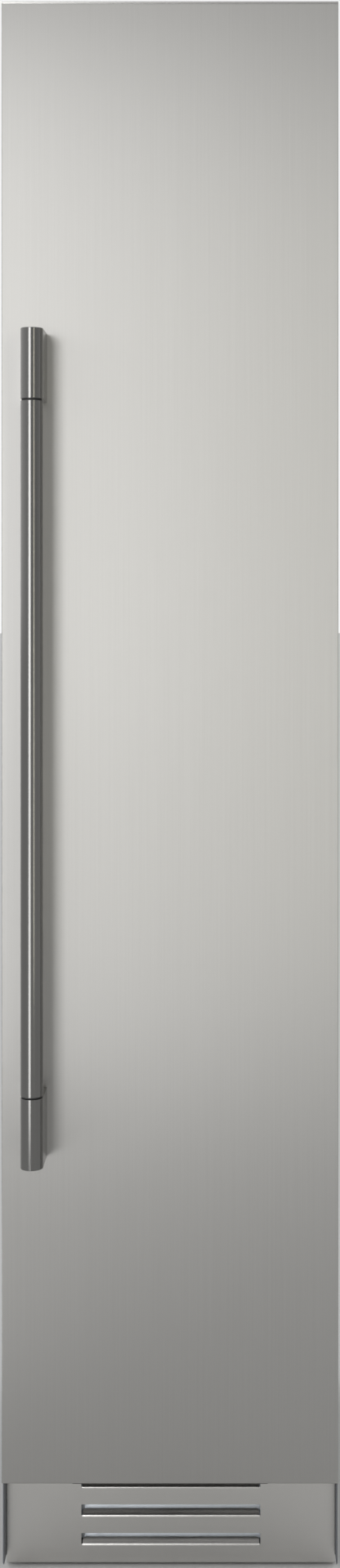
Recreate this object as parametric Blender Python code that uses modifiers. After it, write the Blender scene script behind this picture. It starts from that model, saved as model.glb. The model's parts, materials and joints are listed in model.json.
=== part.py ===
"""Tall column freezer with a stainless steel door, built as separate pieces.

Metres, +Z up. The door faces -Y, the handle is on the -X side and the door hinges on
the +X side. The origin is on the floor under the middle of the whole object.
"""
import math

import bmesh
import bpy
from mathutils import Matrix, Vector

# Overall sizes
HEIGHT = 2.134
DEPTH = 0.610
WIDTH = 0.455
CASE_INSET = 0.002
BASE_INSET = 0.0005
FIT = 0.0003
OVERRUN = 0.010
MERGE = 0.00001

# Door skin, top cap and foamed body
DOOR_BOTTOM = 0.130
DOOR_GAP = 0.0015
CAP_HEIGHT = 0.0035
CAP_DEPTH = 0.024
CAP_EDGE = 0.0010
CAP_GROOVE = 0.0014
DOOR_SKIN = 0.0012
SKIN_RETURN = 0.020
SKIN_EDGE = 0.0016
DOOR_THICKNESS = 0.070
DOOR_END_SPACE = 0.030
BODY_EDGE = 0.002

# Door liner, gasket and bins
GASKET_SPACE = 0.0164
GASKET_WIDTH = 0.014
GASKET_BASE = 0.0035
GASKET_NECK = 0.0045
GASKET_END_INSET = 0.036
LINER_SHEET = 0.0025
DIKE_SIDE_SPACE = 0.008
DIKE_FLOOR_SPACE = 0.009
DIKE_ROOF_SPACE = 0.0115
DIKE_RISE = 0.035
DIKE_WALL = 0.012
DIKE_DRAFT = 0.003
BIN_PLACE_SHARES = (0.393, 0.586, 0.779)
BIN_SIDE_SPACE = 0.004
BIN_REACH = 0.108
BIN_HEIGHT = 0.100
BIN_CORNER = 0.030
BIN_WALL = 0.0025
BIN_SOLE_EDGE = 0.006
LUG_HEIGHT = 0.008

# Handle
HANDLE_PROJECTION = 0.0635
HANDLE_WIDTH = 0.030
HANDLE_INSET = 0.0465
HANDLE_DROP = 0.4495
HANDLE_LENGTH = 1.1115
BLOCK_HEIGHT = 0.0935
RING_HEIGHT = 0.002
RING_STEP = 0.0014
BAR_EDGE = 0.0006
STUD_RADIUS = 0.005
STUD_LENGTH = 0.032

# Hinge
HINGE_INSET = 0.0145
HINGE_DEPTH = 0.033
PIN_RADIUS = 0.004
PIN_LENGTH = 0.0324
BUSH_RADIUS = 0.0075
BUSH_LENGTH = 0.030
BUSH_FLANGE_RADIUS = 0.011
BUSH_FLANGE = 0.002
BRACKET_THICKNESS = 0.005
BRACKET_LEG = 0.004
BRACKET_WIDTH = 0.090
BRACKET_DROP = 0.018
BRACKET_EYE = 0.0085
BRACKET_NARROWING = 0.004

# Cabinet shell, foam and liner
CASE_SKIN = 0.001
CASE_TOP_GAP = 0.006
CASE_BEND = 0.0015
REAR_RETURN = 0.015
CASE_WALL = 0.0475
CASE_ROOF = 0.053
REAR_WALL = 0.060
SILL_HEIGHT = 0.0592
CABINET_LINER = 0.0015
HUMP_HEIGHT = 0.212
FOAM_FLOOR_WALL = 0.045
LEDGE_DEPTH = 0.006
LEDGE_HEIGHT = 0.010

# Base, kick plate and louvres
KICK_RECESS = 0.036
KICK_SHEET = 0.0012
KICK_BOTTOM = 0.003
KICK_INSET = 0.0028
CHEEK_SETBACK = 0.0115
KICK_RETURN = 0.012
KICK_EDGE = 0.0015
LOUVRE_COUNT = 3
LOUVRE_BOTTOM = 0.0288
LOUVRE_TOP_SPACE = 0.0056
LOUVRE_LENGTH = 0.2454
LOUVRE_HEIGHT = 0.0157
TAB_RELIEF = 0.0016
TAB_LENGTH = 0.0092
TAB_SHEET = 0.0011
TAB_BEND = 0.0034
TAB_LEAN = 50.0
TAB_CORNER = 0.0025
BAFFLE_SPACE = 0.016
BASE_SHEET = 0.0015
BASE_CLEARANCE = 0.014
BASE_BEND = 0.003

# Levelling legs and rear rollers
LEG_INSET = 0.045
LEG_DEPTH = 0.125
PAD_RADIUS = 0.019
PAD_HEIGHT = 0.006
COLLAR_RADIUS = 0.011
STEM_RADIUS = 0.005
STEM_TOP = 0.062
BOSS_RADIUS = 0.010
BOSS_HEIGHT = 0.014
ROLLER_RADIUS = 0.022
ROLLER_WIDTH = 0.018
ROLLER_INSET = 0.045
ROLLER_BACK = 0.060
ROLLER_EDGE = 0.003
ROLLER_HUB = 0.009
ROLLER_HUB_STEP = 0.0012
AXLE_RADIUS = 0.004
BRACKET_SHEET = 0.002
BRACKET_LENGTH = 0.036
BRACKET_PLAY = 0.0016

# Machine compartment
COMPRESSOR_BACK = 0.105
COMPRESSOR_GAP = 0.006
MACHINE_SPACE = 0.013
COMPRESSOR_WIDTH_SHARE = 0.16264
COMPRESSOR_HEIGHT = 0.150
COMPRESSOR_BELT = 0.003
COMPRESSOR_CROWN = 0.030
COMPRESSOR_FOOT = 0.012
COMPRESSOR_PLATE = 0.003
COMPRESSOR_GROMMET = 0.0084
SEAM_SHARE = 0.55
STUB_RADIUS = 0.005
STUB_LENGTH = 0.030
COIL_TUBE = 0.004
COIL_SPACE = 0.010
CONDENSER_HEIGHT = 0.115
CONDENSER_PASSES = 4
CONDENSER_FINS = 7
COIL_FIN = 0.0010
FAN_RADIUS = 0.055
FAN_HUB = 0.016
FAN_TIP_CHORD = 0.034
FAN_ROOT_CHORD = 0.0187
FAN_CHORD_SHARES = (-0.5, 0.0, 0.5)
FAN_ROOT_SHARE = 0.8
FAN_FLATTEN_SHARE = 0.75
FAN_HUB_HEIGHT = 0.018
FAN_BLADE = 0.0016
FAN_BLADES = 5
FAN_PITCH_ROOT = 48.0
FAN_PITCH_TIP = 26.0
SHROUD_GAP = 0.004
SHROUD_MARGIN = 0.011
SHROUD_REST = 0.001
SHROUD_SHEET = 0.0015
MOTOR_RADIUS = 0.022
MOTOR_LENGTH = 0.026
MOTOR_SHAFT = 0.003
MOTOR_ARM = 0.012
MOTOR_MOUNT = 0.002
MOTOR_FOOT = 0.0065
MOTOR_SPACE = 0.0207
DRAIN_PAN_LENGTH = 0.150
DRAIN_PAN_SIDE_SPACE = 0.062
DRAIN_PAN_HEIGHT = 0.030
DRAIN_PAN_WALL = 0.002
DRAIN_PAN_SPACE = 0.040
DRIER_RADIUS = 0.010
DRIER_LENGTH = 0.110
DRIER_NECK = 0.003
CONTROL_BOX_WIDTH = 0.110
CONTROL_BOX_DEPTH = 0.035
CONTROL_BOX_HEIGHT = 0.075
CONTROL_BOX_EDGE = 0.003
INLET_WIDTH = 0.048
INLET_HEIGHT = 0.028
INLET_DEPTH = 0.022
INLET_SOCKET = 0.012
INLET_WALL = 0.004
COVER_SHEET = 0.001
COVER_SLOTS = 9
COVER_SLOT_LENGTH = 0.110
COVER_SLOT_HEIGHT = 0.006
COVER_START_SHARE = 0.3
COVER_FIELD_SHARE = 0.6

# Evaporator behind its cover
EVAP_COVER_SIDE_SPACE = 0.010
EVAP_COVER_WALL = 0.0025
EVAP_COVER_EDGE = 0.010
EVAP_COVER_GAP = 0.006
EVAP_COIL_SIDE_SPACE = 0.033
EVAP_COIL_HEIGHT = 0.300
EVAP_COIL_DEPTH = 0.030
EVAP_COIL_LIFT = 0.050
EVAP_PASSES = 5
EVAP_FINS = 7
EVAP_FAN_LIFT = 0.130
GRILLE_SLOTS = 7
GRILLE_SLOT_WIDTH = 0.007
GRILLE_SPAN = 0.100

# Shelves, drawers, lights and controls
SHELF_PLACE_SHARES = (0.0, 0.226, 0.460, 0.703)
SHELF_SIDE_GAP = 0.002
SHELF_SETBACK = 0.015
SHELF_THICKNESS = 0.005
SHELF_FRAME = 0.014
SHELF_FRAME_DROP = 0.010
DRAWER_LIFT = 0.012
DRAWER_HEIGHT = 0.195
DRAWER_STEP = 0.030
DRAWER_CLEARANCE = 0.019
DRAWER_SIDE_GAP = 0.010
DRAWER_WALL = 0.0025
DRAWER_DRAFT = 0.006
DRAWER_CORNER = 0.012
DRAWER_RIM = 0.0075
DRAWER_RIM_HEIGHT = 0.006
DRAWER_PULL_HEIGHT = 0.022
DRAWER_PULL_REACH = 0.010
DRAWER_PULL_SHEET = 0.003
LIGHT_HEIGHT = 0.600
LIGHT_WIDTH = 0.014
LIGHT_DEPTH = 0.005
LIGHT_SETBACK = 0.0486
LIGHT_TOP_SPACE = 0.275
CONTROL_WIDTH = 0.200
CONTROL_DEPTH = 0.100
CONTROL_HEIGHT = 0.024
CONTROL_SETBACK = 0.0636
CONTROL_EDGE = 0.004
LENS_WIDTH = 0.120
LENS_HEIGHT = 0.014
LENS_THICKNESS = 0.002

# Numbers of steps round an arc, and a bevel's round profile
BEND_STEPS = 3
ARC_STEPS = 12
RIM_STEPS = 3
ROUND_SHARE = 0.5

# Places worked out from the sizes above
FACE_Y = (HANDLE_PROJECTION - DEPTH) / 2
BACK_Y = FACE_Y + DEPTH
HALF_WIDTH = WIDTH / 2
DOOR_TOP = HEIGHT - CAP_HEIGHT
BODY_BOTTOM = DOOR_BOTTOM + DOOR_END_SPACE
BODY_TOP = DOOR_TOP - DOOR_END_SPACE
HINGE_X = HALF_WIDTH - HINGE_INSET
HINGE_Y = FACE_Y + HINGE_DEPTH
BODY_BACK_Y = FACE_Y + DOOR_THICKNESS
CASE_FRONT_Y = BODY_BACK_Y + GASKET_SPACE
KICK_TOP = DOOR_BOTTOM - DOOR_GAP
CASE_BOTTOM = KICK_TOP + FIT
CASE_TOP = HEIGHT - CASE_TOP_GAP
CASE_HALF = HALF_WIDTH - CASE_INSET
BASE_HALF = HALF_WIDTH - BASE_INSET
CAVITY_HALF = CASE_HALF - CASE_WALL
CAVITY_FLOOR = CASE_BOTTOM + SILL_HEIGHT
CAVITY_TOP = CASE_TOP - CASE_ROOF
CAVITY_BACK_Y = BACK_Y - REAR_WALL
LINER_HALF = CAVITY_HALF + CABINET_LINER
COMPRESSOR_Y = BACK_Y - COMPRESSOR_BACK
COMPRESSOR_RADIUS = WIDTH * COMPRESSOR_WIDTH_SHARE
HUMP_Y = COMPRESSOR_Y - COMPRESSOR_RADIUS - COMPRESSOR_BELT - MACHINE_SPACE - FOAM_FLOOR_WALL
HUMP_TOP = CAVITY_FLOOR + HUMP_HEIGHT
FOAM_FLOOR = CAVITY_FLOOR - FOAM_FLOOR_WALL
FOAM_HUMP_Y = HUMP_Y + FOAM_FLOOR_WALL
FOAM_HUMP_TOP = HUMP_TOP - FOAM_FLOOR_WALL
DIKE_HALF = CAVITY_HALF - DIKE_SIDE_SPACE
DIKE_LOW = CAVITY_FLOOR + DIKE_FLOOR_SPACE
DIKE_HIGH = CAVITY_TOP - DIKE_ROOF_SPACE
BIN_HALF = DIKE_HALF - DIKE_WALL - BIN_SIDE_SPACE
BIN_BACK_Y = BODY_BACK_Y + LINER_SHEET + 2 * FIT
BIN_FRONT_Y = BIN_BACK_Y + BIN_REACH
BIN_HEIGHTS = [DIKE_LOW + (DIKE_HIGH - DIKE_LOW) * share for share in BIN_PLACE_SHARES]
HANDLE_X = HANDLE_INSET - HALF_WIDTH
HANDLE_RADIUS = HANDLE_WIDTH / 2
HANDLE_Y = FACE_Y - HANDLE_PROJECTION + HANDLE_RADIUS
HANDLE_TOP = HEIGHT - HANDLE_DROP
HANDLE_BOTTOM = HANDLE_TOP - HANDLE_LENGTH
KICK_Y = FACE_Y + KICK_RECESS
LOUVRE_PITCH = (KICK_TOP - LOUVRE_TOP_SPACE - LOUVRE_HEIGHT - LOUVRE_BOTTOM) / (LOUVRE_COUNT - 1)
BASE_FRONT_Y = KICK_Y + KICK_SHEET + FIT
BASE_TOP = BASE_CLEARANCE + BASE_SHEET
ROLLER_X = BASE_HALF - ROLLER_INSET
BRACKET_HALF = ROLLER_WIDTH / 2 + 2 * BRACKET_PLAY + BRACKET_SHEET
COMPRESSOR_X = ROLLER_X - BRACKET_HALF - COMPRESSOR_GAP - COMPRESSOR_RADIUS - COMPRESSOR_BELT
SHROUD_LIP = FAN_HUB_HEIGHT + 2 * SHROUD_REST
MOTOR_REACH = FAN_HUB_HEIGHT / 2 + FIT + MOTOR_LENGTH
SHROUD_X = COMPRESSOR_X - COMPRESSOR_RADIUS - COMPRESSOR_BELT - MOTOR_SPACE - MOTOR_REACH
SHROUD_HALF = FAN_RADIUS + SHROUD_GAP + SHROUD_MARGIN
EVAP_COVER_HALF = CAVITY_HALF - EVAP_COVER_SIDE_SPACE
EVAP_FAN_Y = CAVITY_BACK_Y - FIT - MOTOR_FOOT - MOTOR_LENGTH - FAN_HUB_HEIGHT / 2
EVAP_COVER_Y = EVAP_FAN_Y - FAN_HUB_HEIGHT - EVAP_COVER_WALL
DRAWER_FRONT_Y = BIN_FRONT_Y + DRAWER_CLEARANCE
SHELF_FRONT_Y = DRAWER_FRONT_Y + SHELF_SETBACK
MIDDLE_DRAWER_FLOOR = HUMP_TOP + DRAWER_STEP
UPPER_DRAWER_FLOOR = MIDDLE_DRAWER_FLOOR + DRAWER_HEIGHT + DRAWER_STEP
FIRST_SHELF = UPPER_DRAWER_FLOOR + DRAWER_HEIGHT + DRAWER_STEP
SHELF_HEIGHTS = [FIRST_SHELF + (CAVITY_TOP - FIRST_SHELF) * share for share in SHELF_PLACE_SHARES]

# Floor and top of each drawer, the lowest beside the step over the compressor
DRAWERS = {
    "lower_drawer": (CAVITY_FLOOR + DRAWER_LIFT, HUMP_TOP - DRAWER_STEP / 2),
    "middle_drawer": (MIDDLE_DRAWER_FLOOR, MIDDLE_DRAWER_FLOOR + DRAWER_HEIGHT),
    "upper_drawer": (UPPER_DRAWER_FLOOR, UPPER_DRAWER_FLOOR + DRAWER_HEIGHT),
}

Z_AXIS = Vector((0.0, 0.0, 1.0))

# Plane of an outline and the direction in which it is drawn out
AXIS_TURNS = {
    "X": Matrix(((0, 0, 1), (1, 0, 0), (0, 1, 0))).to_4x4(),
    "Y": Matrix(((1, 0, 0), (0, 0, -1), (0, 1, 0))).to_4x4(),
    "Z": Matrix.Identity(4),
}

FINISHES = {
    "stainless": ((0.560, 0.550, 0.530), 1.0, 0.34),
    "galvanised": ((0.450, 0.470, 0.500), 0.9, 0.45),
    "painted": ((0.330, 0.340, 0.350), 0.3, 0.50),
    "foam": ((0.820, 0.740, 0.480), 0.0, 0.90),
    "white_plastic": ((0.800, 0.810, 0.820), 0.0, 0.40),
    "grey_plastic": ((0.400, 0.410, 0.430), 0.0, 0.50),
    "clear_plastic": ((0.700, 0.760, 0.800), 0.0, 0.15),
    "glass": ((0.620, 0.720, 0.700), 0.0, 0.05),
    "rubber": ((0.160, 0.165, 0.170), 0.0, 0.80),
    "black": ((0.015, 0.015, 0.016), 0.0, 0.50),
    "black_steel": ((0.030, 0.030, 0.032), 0.4, 0.45),
    "aluminium": ((0.700, 0.710, 0.720), 1.0, 0.40),
    "copper": ((0.720, 0.400, 0.260), 1.0, 0.35),
    "lamp": ((0.950, 0.960, 1.000), 0.0, 0.30),
}


def finish(name):
    """Give the material of that finish, made on its first use."""
    material = bpy.data.materials.get(name)
    if material is None:
        colour, metallic, roughness = FINISHES[name]
        material = bpy.data.materials.new(name)
        material.use_nodes = True
        shader = material.node_tree.nodes["Principled BSDF"]
        shader.inputs["Base Color"].default_value = (*colour, 1.0)
        shader.inputs["Metallic"].default_value = metallic
        shader.inputs["Roughness"].default_value = roughness
    return material


def clear_scene():
    for obj in list(bpy.data.objects):
        bpy.data.objects.remove(obj, do_unlink=True)


def collection(name):
    found = bpy.data.collections.get(name)
    if found is None:
        found = bpy.data.collections.new(name)
        bpy.context.scene.collection.children.link(found)
    return found


def place(obj, look):
    """Put a piece into the freezer's collection with its finish."""
    obj.data.materials.clear()
    obj.data.materials.append(finish(look))
    for owner in list(obj.users_collection):
        owner.objects.unlink(obj)
    collection("column_freezer").objects.link(obj)
    return obj


def tool(obj):
    """Put a cutter or a joining shape into its own collection."""
    for owner in list(obj.users_collection):
        owner.objects.unlink(obj)
    collection("cutters").objects.link(obj)
    obj.hide_render = True
    obj.display_type = "WIRE"
    return obj


def new_object(name, shape):
    """Make an object from a bmesh and free the bmesh."""
    mesh = bpy.data.meshes.new(name)
    shape.to_mesh(mesh)
    shape.free()
    obj = bpy.data.objects.new(name, mesh)
    bpy.context.scene.collection.objects.link(obj)
    return obj


def mesh_object(name, build):
    """Make an object from a bmesh that a function has filled, with its faces out."""
    shape = bmesh.new()
    build(shape)
    bmesh.ops.recalc_face_normals(shape, faces=shape.faces)
    return new_object(name, shape)


def smooth(obj, angle=35.0):
    obj.data.shade_smooth()
    obj.data.set_sharp_from_angle(angle=math.radians(angle))
    return obj


def add_cube(shape, low, high):
    low = Vector(low)
    size = Vector(high) - low
    move = Matrix.Translation(low + size / 2) @ Matrix.Diagonal((*size, 1.0))
    return bmesh.ops.create_cube(shape, size=1.0, matrix=move)["verts"]


def block(name, low, high, edge=0.0, steps=RIM_STEPS):
    """A box between two corners, its edges rounded when edge is above zero."""
    obj = mesh_object(name, lambda shape: add_cube(shape, low, high))
    if edge > 0.0:
        bevel(obj, edge, steps)
    return obj


def blocks(name, boxes):
    """Several boxes in one object, for cutting or joining in one go."""
    def build(shape):
        for low, high in boxes:
            add_cube(shape, low, high)
    return mesh_object(name, build)


def open_box(name, low, high, open_side):
    """The faces of a box with one of them left out, as a surface."""
    def build(shape):
        add_cube(shape, low, high)
        away = Vector(open_side)
        gone = [face for face in shape.faces if face.normal.dot(away) > 0.9]
        bmesh.ops.delete(shape, geom=gone, context="FACES_ONLY")
    obj = mesh_object(name, build)
    point_outward(obj, Vector(low).lerp(Vector(high), 0.5))
    return obj


def point_outward(obj, centre):
    """Turn an open surface so that its faces look away from the centre."""
    mesh = obj.data
    towards = sum(poly.normal.dot(poly.center - centre) for poly in mesh.polygons)
    if towards < 0.0:
        mesh.flip_normals()


def plate(name, outline, low, high, axis):
    """A closed outline drawn out along an axis, made as a filled curve."""
    curve = bpy.data.curves.new(name + "_outline", "CURVE")
    curve.dimensions = "2D"
    curve.fill_mode = "BOTH"
    curve.extrude = (high - low) / 2
    spline = curve.splines.new("POLY")
    spline.points.add(len(outline) - 1)
    for point, (u, v) in zip(spline.points, outline):
        point.co = (u, v, 0.0, 1.0)
    spline.use_cyclic_u = True
    guide = bpy.data.objects.new(name + "_outline", curve)
    bpy.context.scene.collection.objects.link(guide)
    turn = AXIS_TURNS[axis]
    middle = turn.to_3x3().col[2] * ((low + high) / 2)
    if axis == "Y":
        middle = -middle
    return as_mesh(name, guide, Matrix.Translation(middle) @ turn)


def as_mesh(name, guide, turn=None):
    """Turn a curve object into a welded mesh object in world space."""
    if turn is not None:
        guide.matrix_world = turn
    bpy.context.view_layer.update()
    graph = bpy.context.evaluated_depsgraph_get()
    mesh = bpy.data.meshes.new_from_object(guide.evaluated_get(graph))
    mesh.name = name
    mesh.transform(guide.matrix_world)
    shape = bmesh.new()
    shape.from_mesh(mesh)
    bmesh.ops.remove_doubles(shape, verts=shape.verts, dist=MERGE)
    bmesh.ops.dissolve_limit(shape, angle_limit=math.radians(0.5), verts=shape.verts, edges=shape.edges)
    bmesh.ops.recalc_face_normals(shape, faces=shape.faces)
    shape.to_mesh(mesh)
    shape.free()
    obj = bpy.data.objects.new(name, mesh)
    bpy.context.scene.collection.objects.link(obj)
    bpy.data.objects.remove(guide, do_unlink=True)
    return obj


def arc(centre, radius, start, end, steps=ARC_STEPS):
    """Points on an arc, with its angles in degrees."""
    points = []
    for step in range(steps + 1):
        angle = math.radians(start + (end - start) * step / steps)
        points.append((centre[0] + radius * math.cos(angle), centre[1] + radius * math.sin(angle)))
    return points


def rounded(path, radius, steps=BEND_STEPS):
    """An open path with each inner corner replaced by an arc."""
    path = [Vector(point) for point in path]
    points = [path[0]]
    for before, corner, after in zip(path, path[1:], path[2:]):
        back = (before - corner).normalized()
        ahead = (after - corner).normalized()
        half = back.angle(ahead) / 2
        reach = radius / math.tan(half)
        centre = corner + (back + ahead).normalized() * (radius / math.sin(half))
        start = corner + back * reach - centre
        turn = start.angle_signed(corner + ahead * reach - centre)
        for step in range(steps + 1):
            spin = Matrix.Rotation(-turn * step / steps, 2)
            points.append(centre + spin @ start)
    points.append(path[-1])
    return [tuple(point) for point in points]


def bent_sheet(name, path, low, high, axis, thickness, corner=0.0):
    """Folded sheet metal: a path drawn out along an axis, thick to the right of its travel.

    The two corners at the path's end are rounded when corner is above zero.
    """
    turn = AXIS_TURNS[axis]
    ends = (-high, -low) if axis == "Y" else (low, high)
    shape = bmesh.new()
    rows = [[shape.verts.new(turn @ Vector((u, v, reach))) for u, v in path] for reach in ends]
    for index in range(len(path) - 1):
        shape.faces.new((rows[0][index], rows[0][index + 1], rows[1][index + 1], rows[1][index]))
    if corner > 0.0:
        tips = [rows[0][-1], rows[1][-1]]
        bmesh.ops.bevel(shape, geom=tips, offset=corner, segments=RIM_STEPS,
                        profile=ROUND_SHARE, affect="VERTICES")
    obj = new_object(name, shape)
    solidify(obj, thickness, 1.0)
    return obj


def solidify(obj, thickness, offset=-1.0):
    shell = obj.modifiers.new("Sheet", "SOLIDIFY")
    shell.thickness = thickness
    shell.offset = offset
    shell.use_even_offset = True
    return obj


def bevel(obj, width, steps=RIM_STEPS, angle=40.0):
    edge = obj.modifiers.new("Edges", "BEVEL")
    edge.width = width
    edge.segments = steps
    edge.limit_method = "ANGLE"
    edge.angle_limit = math.radians(angle)
    return obj


def cut(obj, cutter, mode="DIFFERENCE"):
    tool(cutter)
    change = obj.modifiers.new(cutter.name, "BOOLEAN")
    change.operation = mode
    change.solver = "EXACT"
    change.object = cutter
    return obj


def join(obj, other):
    return cut(obj, other, "UNION")


def turned(name, profile, centre, axis="Z", steps=20):
    """A solid turned about an axis through centre, from (radius, height) pairs.

    A profile that starts on the axis ends there too; any other is closed into a ring.
    """
    shape = bmesh.new()
    rows = [shape.verts.new((radius, 0.0, height)) for radius, height in profile]
    if profile[0][0] > 0.0:
        rows.append(rows[0])
    for first, second in zip(rows, rows[1:]):
        shape.edges.new((first, second))
    obj = new_object(name, shape)
    screw = obj.modifiers.new("Turn", "SCREW")
    screw.steps = steps
    screw.render_steps = steps
    screw.use_merge_vertices = True
    screw.merge_threshold = MERGE
    turn = {"X": Matrix.Rotation(math.radians(90), 4, "Y"),
            "Y": Matrix.Rotation(math.radians(-90), 4, "X"),
            "Z": Matrix.Identity(4)}[axis]
    obj.matrix_world = Matrix.Translation(Vector(centre)) @ turn
    return obj


def rod(name, start, end, radius, sides=20):
    """A round bar between two points."""
    start = Vector(start)
    end = Vector(end)
    turn = Z_AXIS.rotation_difference(end - start).to_matrix().to_4x4()
    move = Matrix.Translation((start + end) / 2) @ turn

    def build(shape):
        bmesh.ops.create_cone(shape, cap_ends=True, segments=sides, radius1=radius, radius2=radius,
                              depth=(end - start).length, matrix=move)
    return mesh_object(name, build)


def tube_path(name, points, radius, resolution=2):
    """A round tube along a line of points."""
    curve = bpy.data.curves.new(name + "_route", "CURVE")
    curve.dimensions = "3D"
    curve.bevel_depth = radius
    curve.bevel_resolution = resolution
    curve.use_fill_caps = True
    spline = curve.splines.new("POLY")
    spline.points.add(len(points) - 1)
    for point, place_on_route in zip(spline.points, points):
        point.co = (*place_on_route, 1.0)
    guide = bpy.data.objects.new(name + "_route", curve)
    bpy.context.scene.collection.objects.link(guide)
    return as_mesh(name, guide)


def pivot(name, location):
    """An empty on a joint's axis, which carries the pieces that move with it."""
    empty = bpy.data.objects.new(name, None)
    empty.location = location
    collection("column_freezer").objects.link(empty)
    bpy.context.view_layer.update()
    return empty


def carry(carrier, pieces):
    for piece in pieces:
        piece.parent = carrier
        piece.matrix_parent_inverse = carrier.matrix_world.inverted()


# Door

def door_panel():
    low = (-HALF_WIDTH, FACE_Y, DOOR_BOTTOM)
    panel = open_box("door_panel", low, (HALF_WIDTH, FACE_Y + SKIN_RETURN, DOOR_TOP), (0, 1, 0))
    bevel(panel, SKIN_EDGE)
    solidify(panel, DOOR_SKIN)
    return place(smooth(panel), "stainless")


def door_top_cap():
    """A folded strip on the skin's top return, with a shadow groove under its front edge."""
    low = DOOR_TOP + FIT
    outline = [(FACE_Y + CAP_GROOVE, low), (FACE_Y + CAP_DEPTH, low), (FACE_Y + CAP_DEPTH, HEIGHT)]
    outline += arc((FACE_Y + CAP_EDGE, HEIGHT - CAP_EDGE), CAP_EDGE, 90, 180, RIM_STEPS)
    outline += [(FACE_Y, low + CAP_EDGE), (FACE_Y + CAP_GROOVE, low + CAP_EDGE)]
    cap = plate("door_top_cap", outline, -HALF_WIDTH, HALF_WIDTH, "X")
    return place(smooth(cap), "stainless")


def door_body():
    half = HALF_WIDTH - DOOR_SKIN - FIT
    low = (-half, FACE_Y + DOOR_SKIN + FIT, BODY_BOTTOM)
    body = block("door_body", low, (half, BODY_BACK_Y, BODY_TOP), BODY_EDGE, RIM_STEPS)
    hole = BUSH_RADIUS + FIT
    depth = BUSH_LENGTH + OVERRUN
    cut(body, rod("lower_bush_hole", (HINGE_X, HINGE_Y, BODY_BOTTOM - OVERRUN),
                  (HINGE_X, HINGE_Y, BODY_BOTTOM + depth), hole))
    cut(body, rod("upper_bush_hole", (HINGE_X, HINGE_Y, BODY_TOP - depth),
                  (HINGE_X, HINGE_Y, BODY_TOP + OVERRUN), hole))
    return place(body, "white_plastic")


def door_liner():
    """The vacuum formed inner skin: a flange, a raised dike all round and a sunk middle."""
    plate_half = HINGE_X - GASKET_WIDTH - FIT
    plate_low = DOOR_BOTTOM + GASKET_END_INSET + GASKET_WIDTH + FIT
    plate_high = DOOR_TOP - GASKET_END_INSET - GASKET_WIDTH - FIT
    front = BODY_BACK_Y + FIT
    liner = block("door_liner", (-plate_half, front, plate_low),
                  (plate_half, front + LINER_SHEET, plate_high))
    dike = drafted_block("dike", (-DIKE_HALF, front + LINER_SHEET / 2, DIKE_LOW),
                         (DIKE_HALF, front + DIKE_RISE, DIKE_HIGH), -DIKE_DRAFT)
    join(liner, dike)
    inner = DIKE_HALF - DIKE_WALL
    pocket = drafted_block("dike_pocket", (-inner, front + LINER_SHEET, DIKE_LOW + DIKE_WALL),
                           (inner, front + DIKE_RISE + OVERRUN, DIKE_HIGH - DIKE_WALL), DIKE_DRAFT)
    cut(liner, pocket)
    lugs = []
    reach = inner + DIKE_DRAFT
    stop = BIN_HALF + FIT
    for height in BIN_HEIGHTS:
        base = height - LUG_HEIGHT - FIT
        for side in (-1, 1):
            ends = sorted((side * (stop - DIKE_WALL / 4), side * reach))
            lugs.append(((ends[0], front + LINER_SHEET / 2, base),
                         (ends[1], front + DIKE_RISE - LINER_SHEET, base + LUG_HEIGHT)))
    join(liner, blocks("bin_lugs", lugs))
    return place(smooth(liner), "white_plastic")


def drafted_block(name, low, high, draft):
    """A box whose +Y face is larger on each side by draft, or smaller where that is negative."""
    def build(shape):
        add_cube(shape, low, high)
        middle = (Vector(low) + Vector(high)) / 2
        for vert in shape.verts:
            if vert.co.y > middle.y:
                vert.co.x += math.copysign(draft, vert.co.x - middle.x)
                vert.co.z += math.copysign(draft, vert.co.z - middle.z)
    return mesh_object(name, build)


def door_gasket():
    """A magnetic seal all round, wide at its base and its bulb with a narrow neck between."""
    depth = GASKET_SPACE - 2 * FIT
    wide = GASKET_WIDTH / 2
    narrow = wide / 2
    start = BODY_BACK_Y + FIT
    profile = [(-wide, start), (wide, start), (wide, start + GASKET_BASE), (narrow, start + GASKET_BASE),
               (narrow, start + GASKET_BASE + GASKET_NECK), (wide, start + GASKET_BASE + GASKET_NECK),
               (wide, start + depth), (-wide, start + depth), (-wide, start + GASKET_BASE + GASKET_NECK),
               (-narrow, start + GASKET_BASE + GASKET_NECK), (-narrow, start + GASKET_BASE),
               (-wide, start + GASKET_BASE)]
    half = HINGE_X - wide
    low = DOOR_BOTTOM + GASKET_END_INSET + wide
    high = DOOR_TOP - GASKET_END_INSET - wide

    def build(shape):
        rings = []
        for out, y in profile:
            corners = ((-half - out, low - out), (half + out, low - out), (half + out, high + out),
                       (-half - out, high + out))
            rings.append([shape.verts.new((x, y, z)) for x, z in corners])
        for ring, following in zip(rings, rings[1:] + rings[:1]):
            for index in range(len(ring)):
                ahead = (index + 1) % len(ring)
                shape.faces.new((ring[index], ring[ahead], following[ahead], following[index]))
    return place(mesh_object("door_gasket", build), "rubber")


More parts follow.
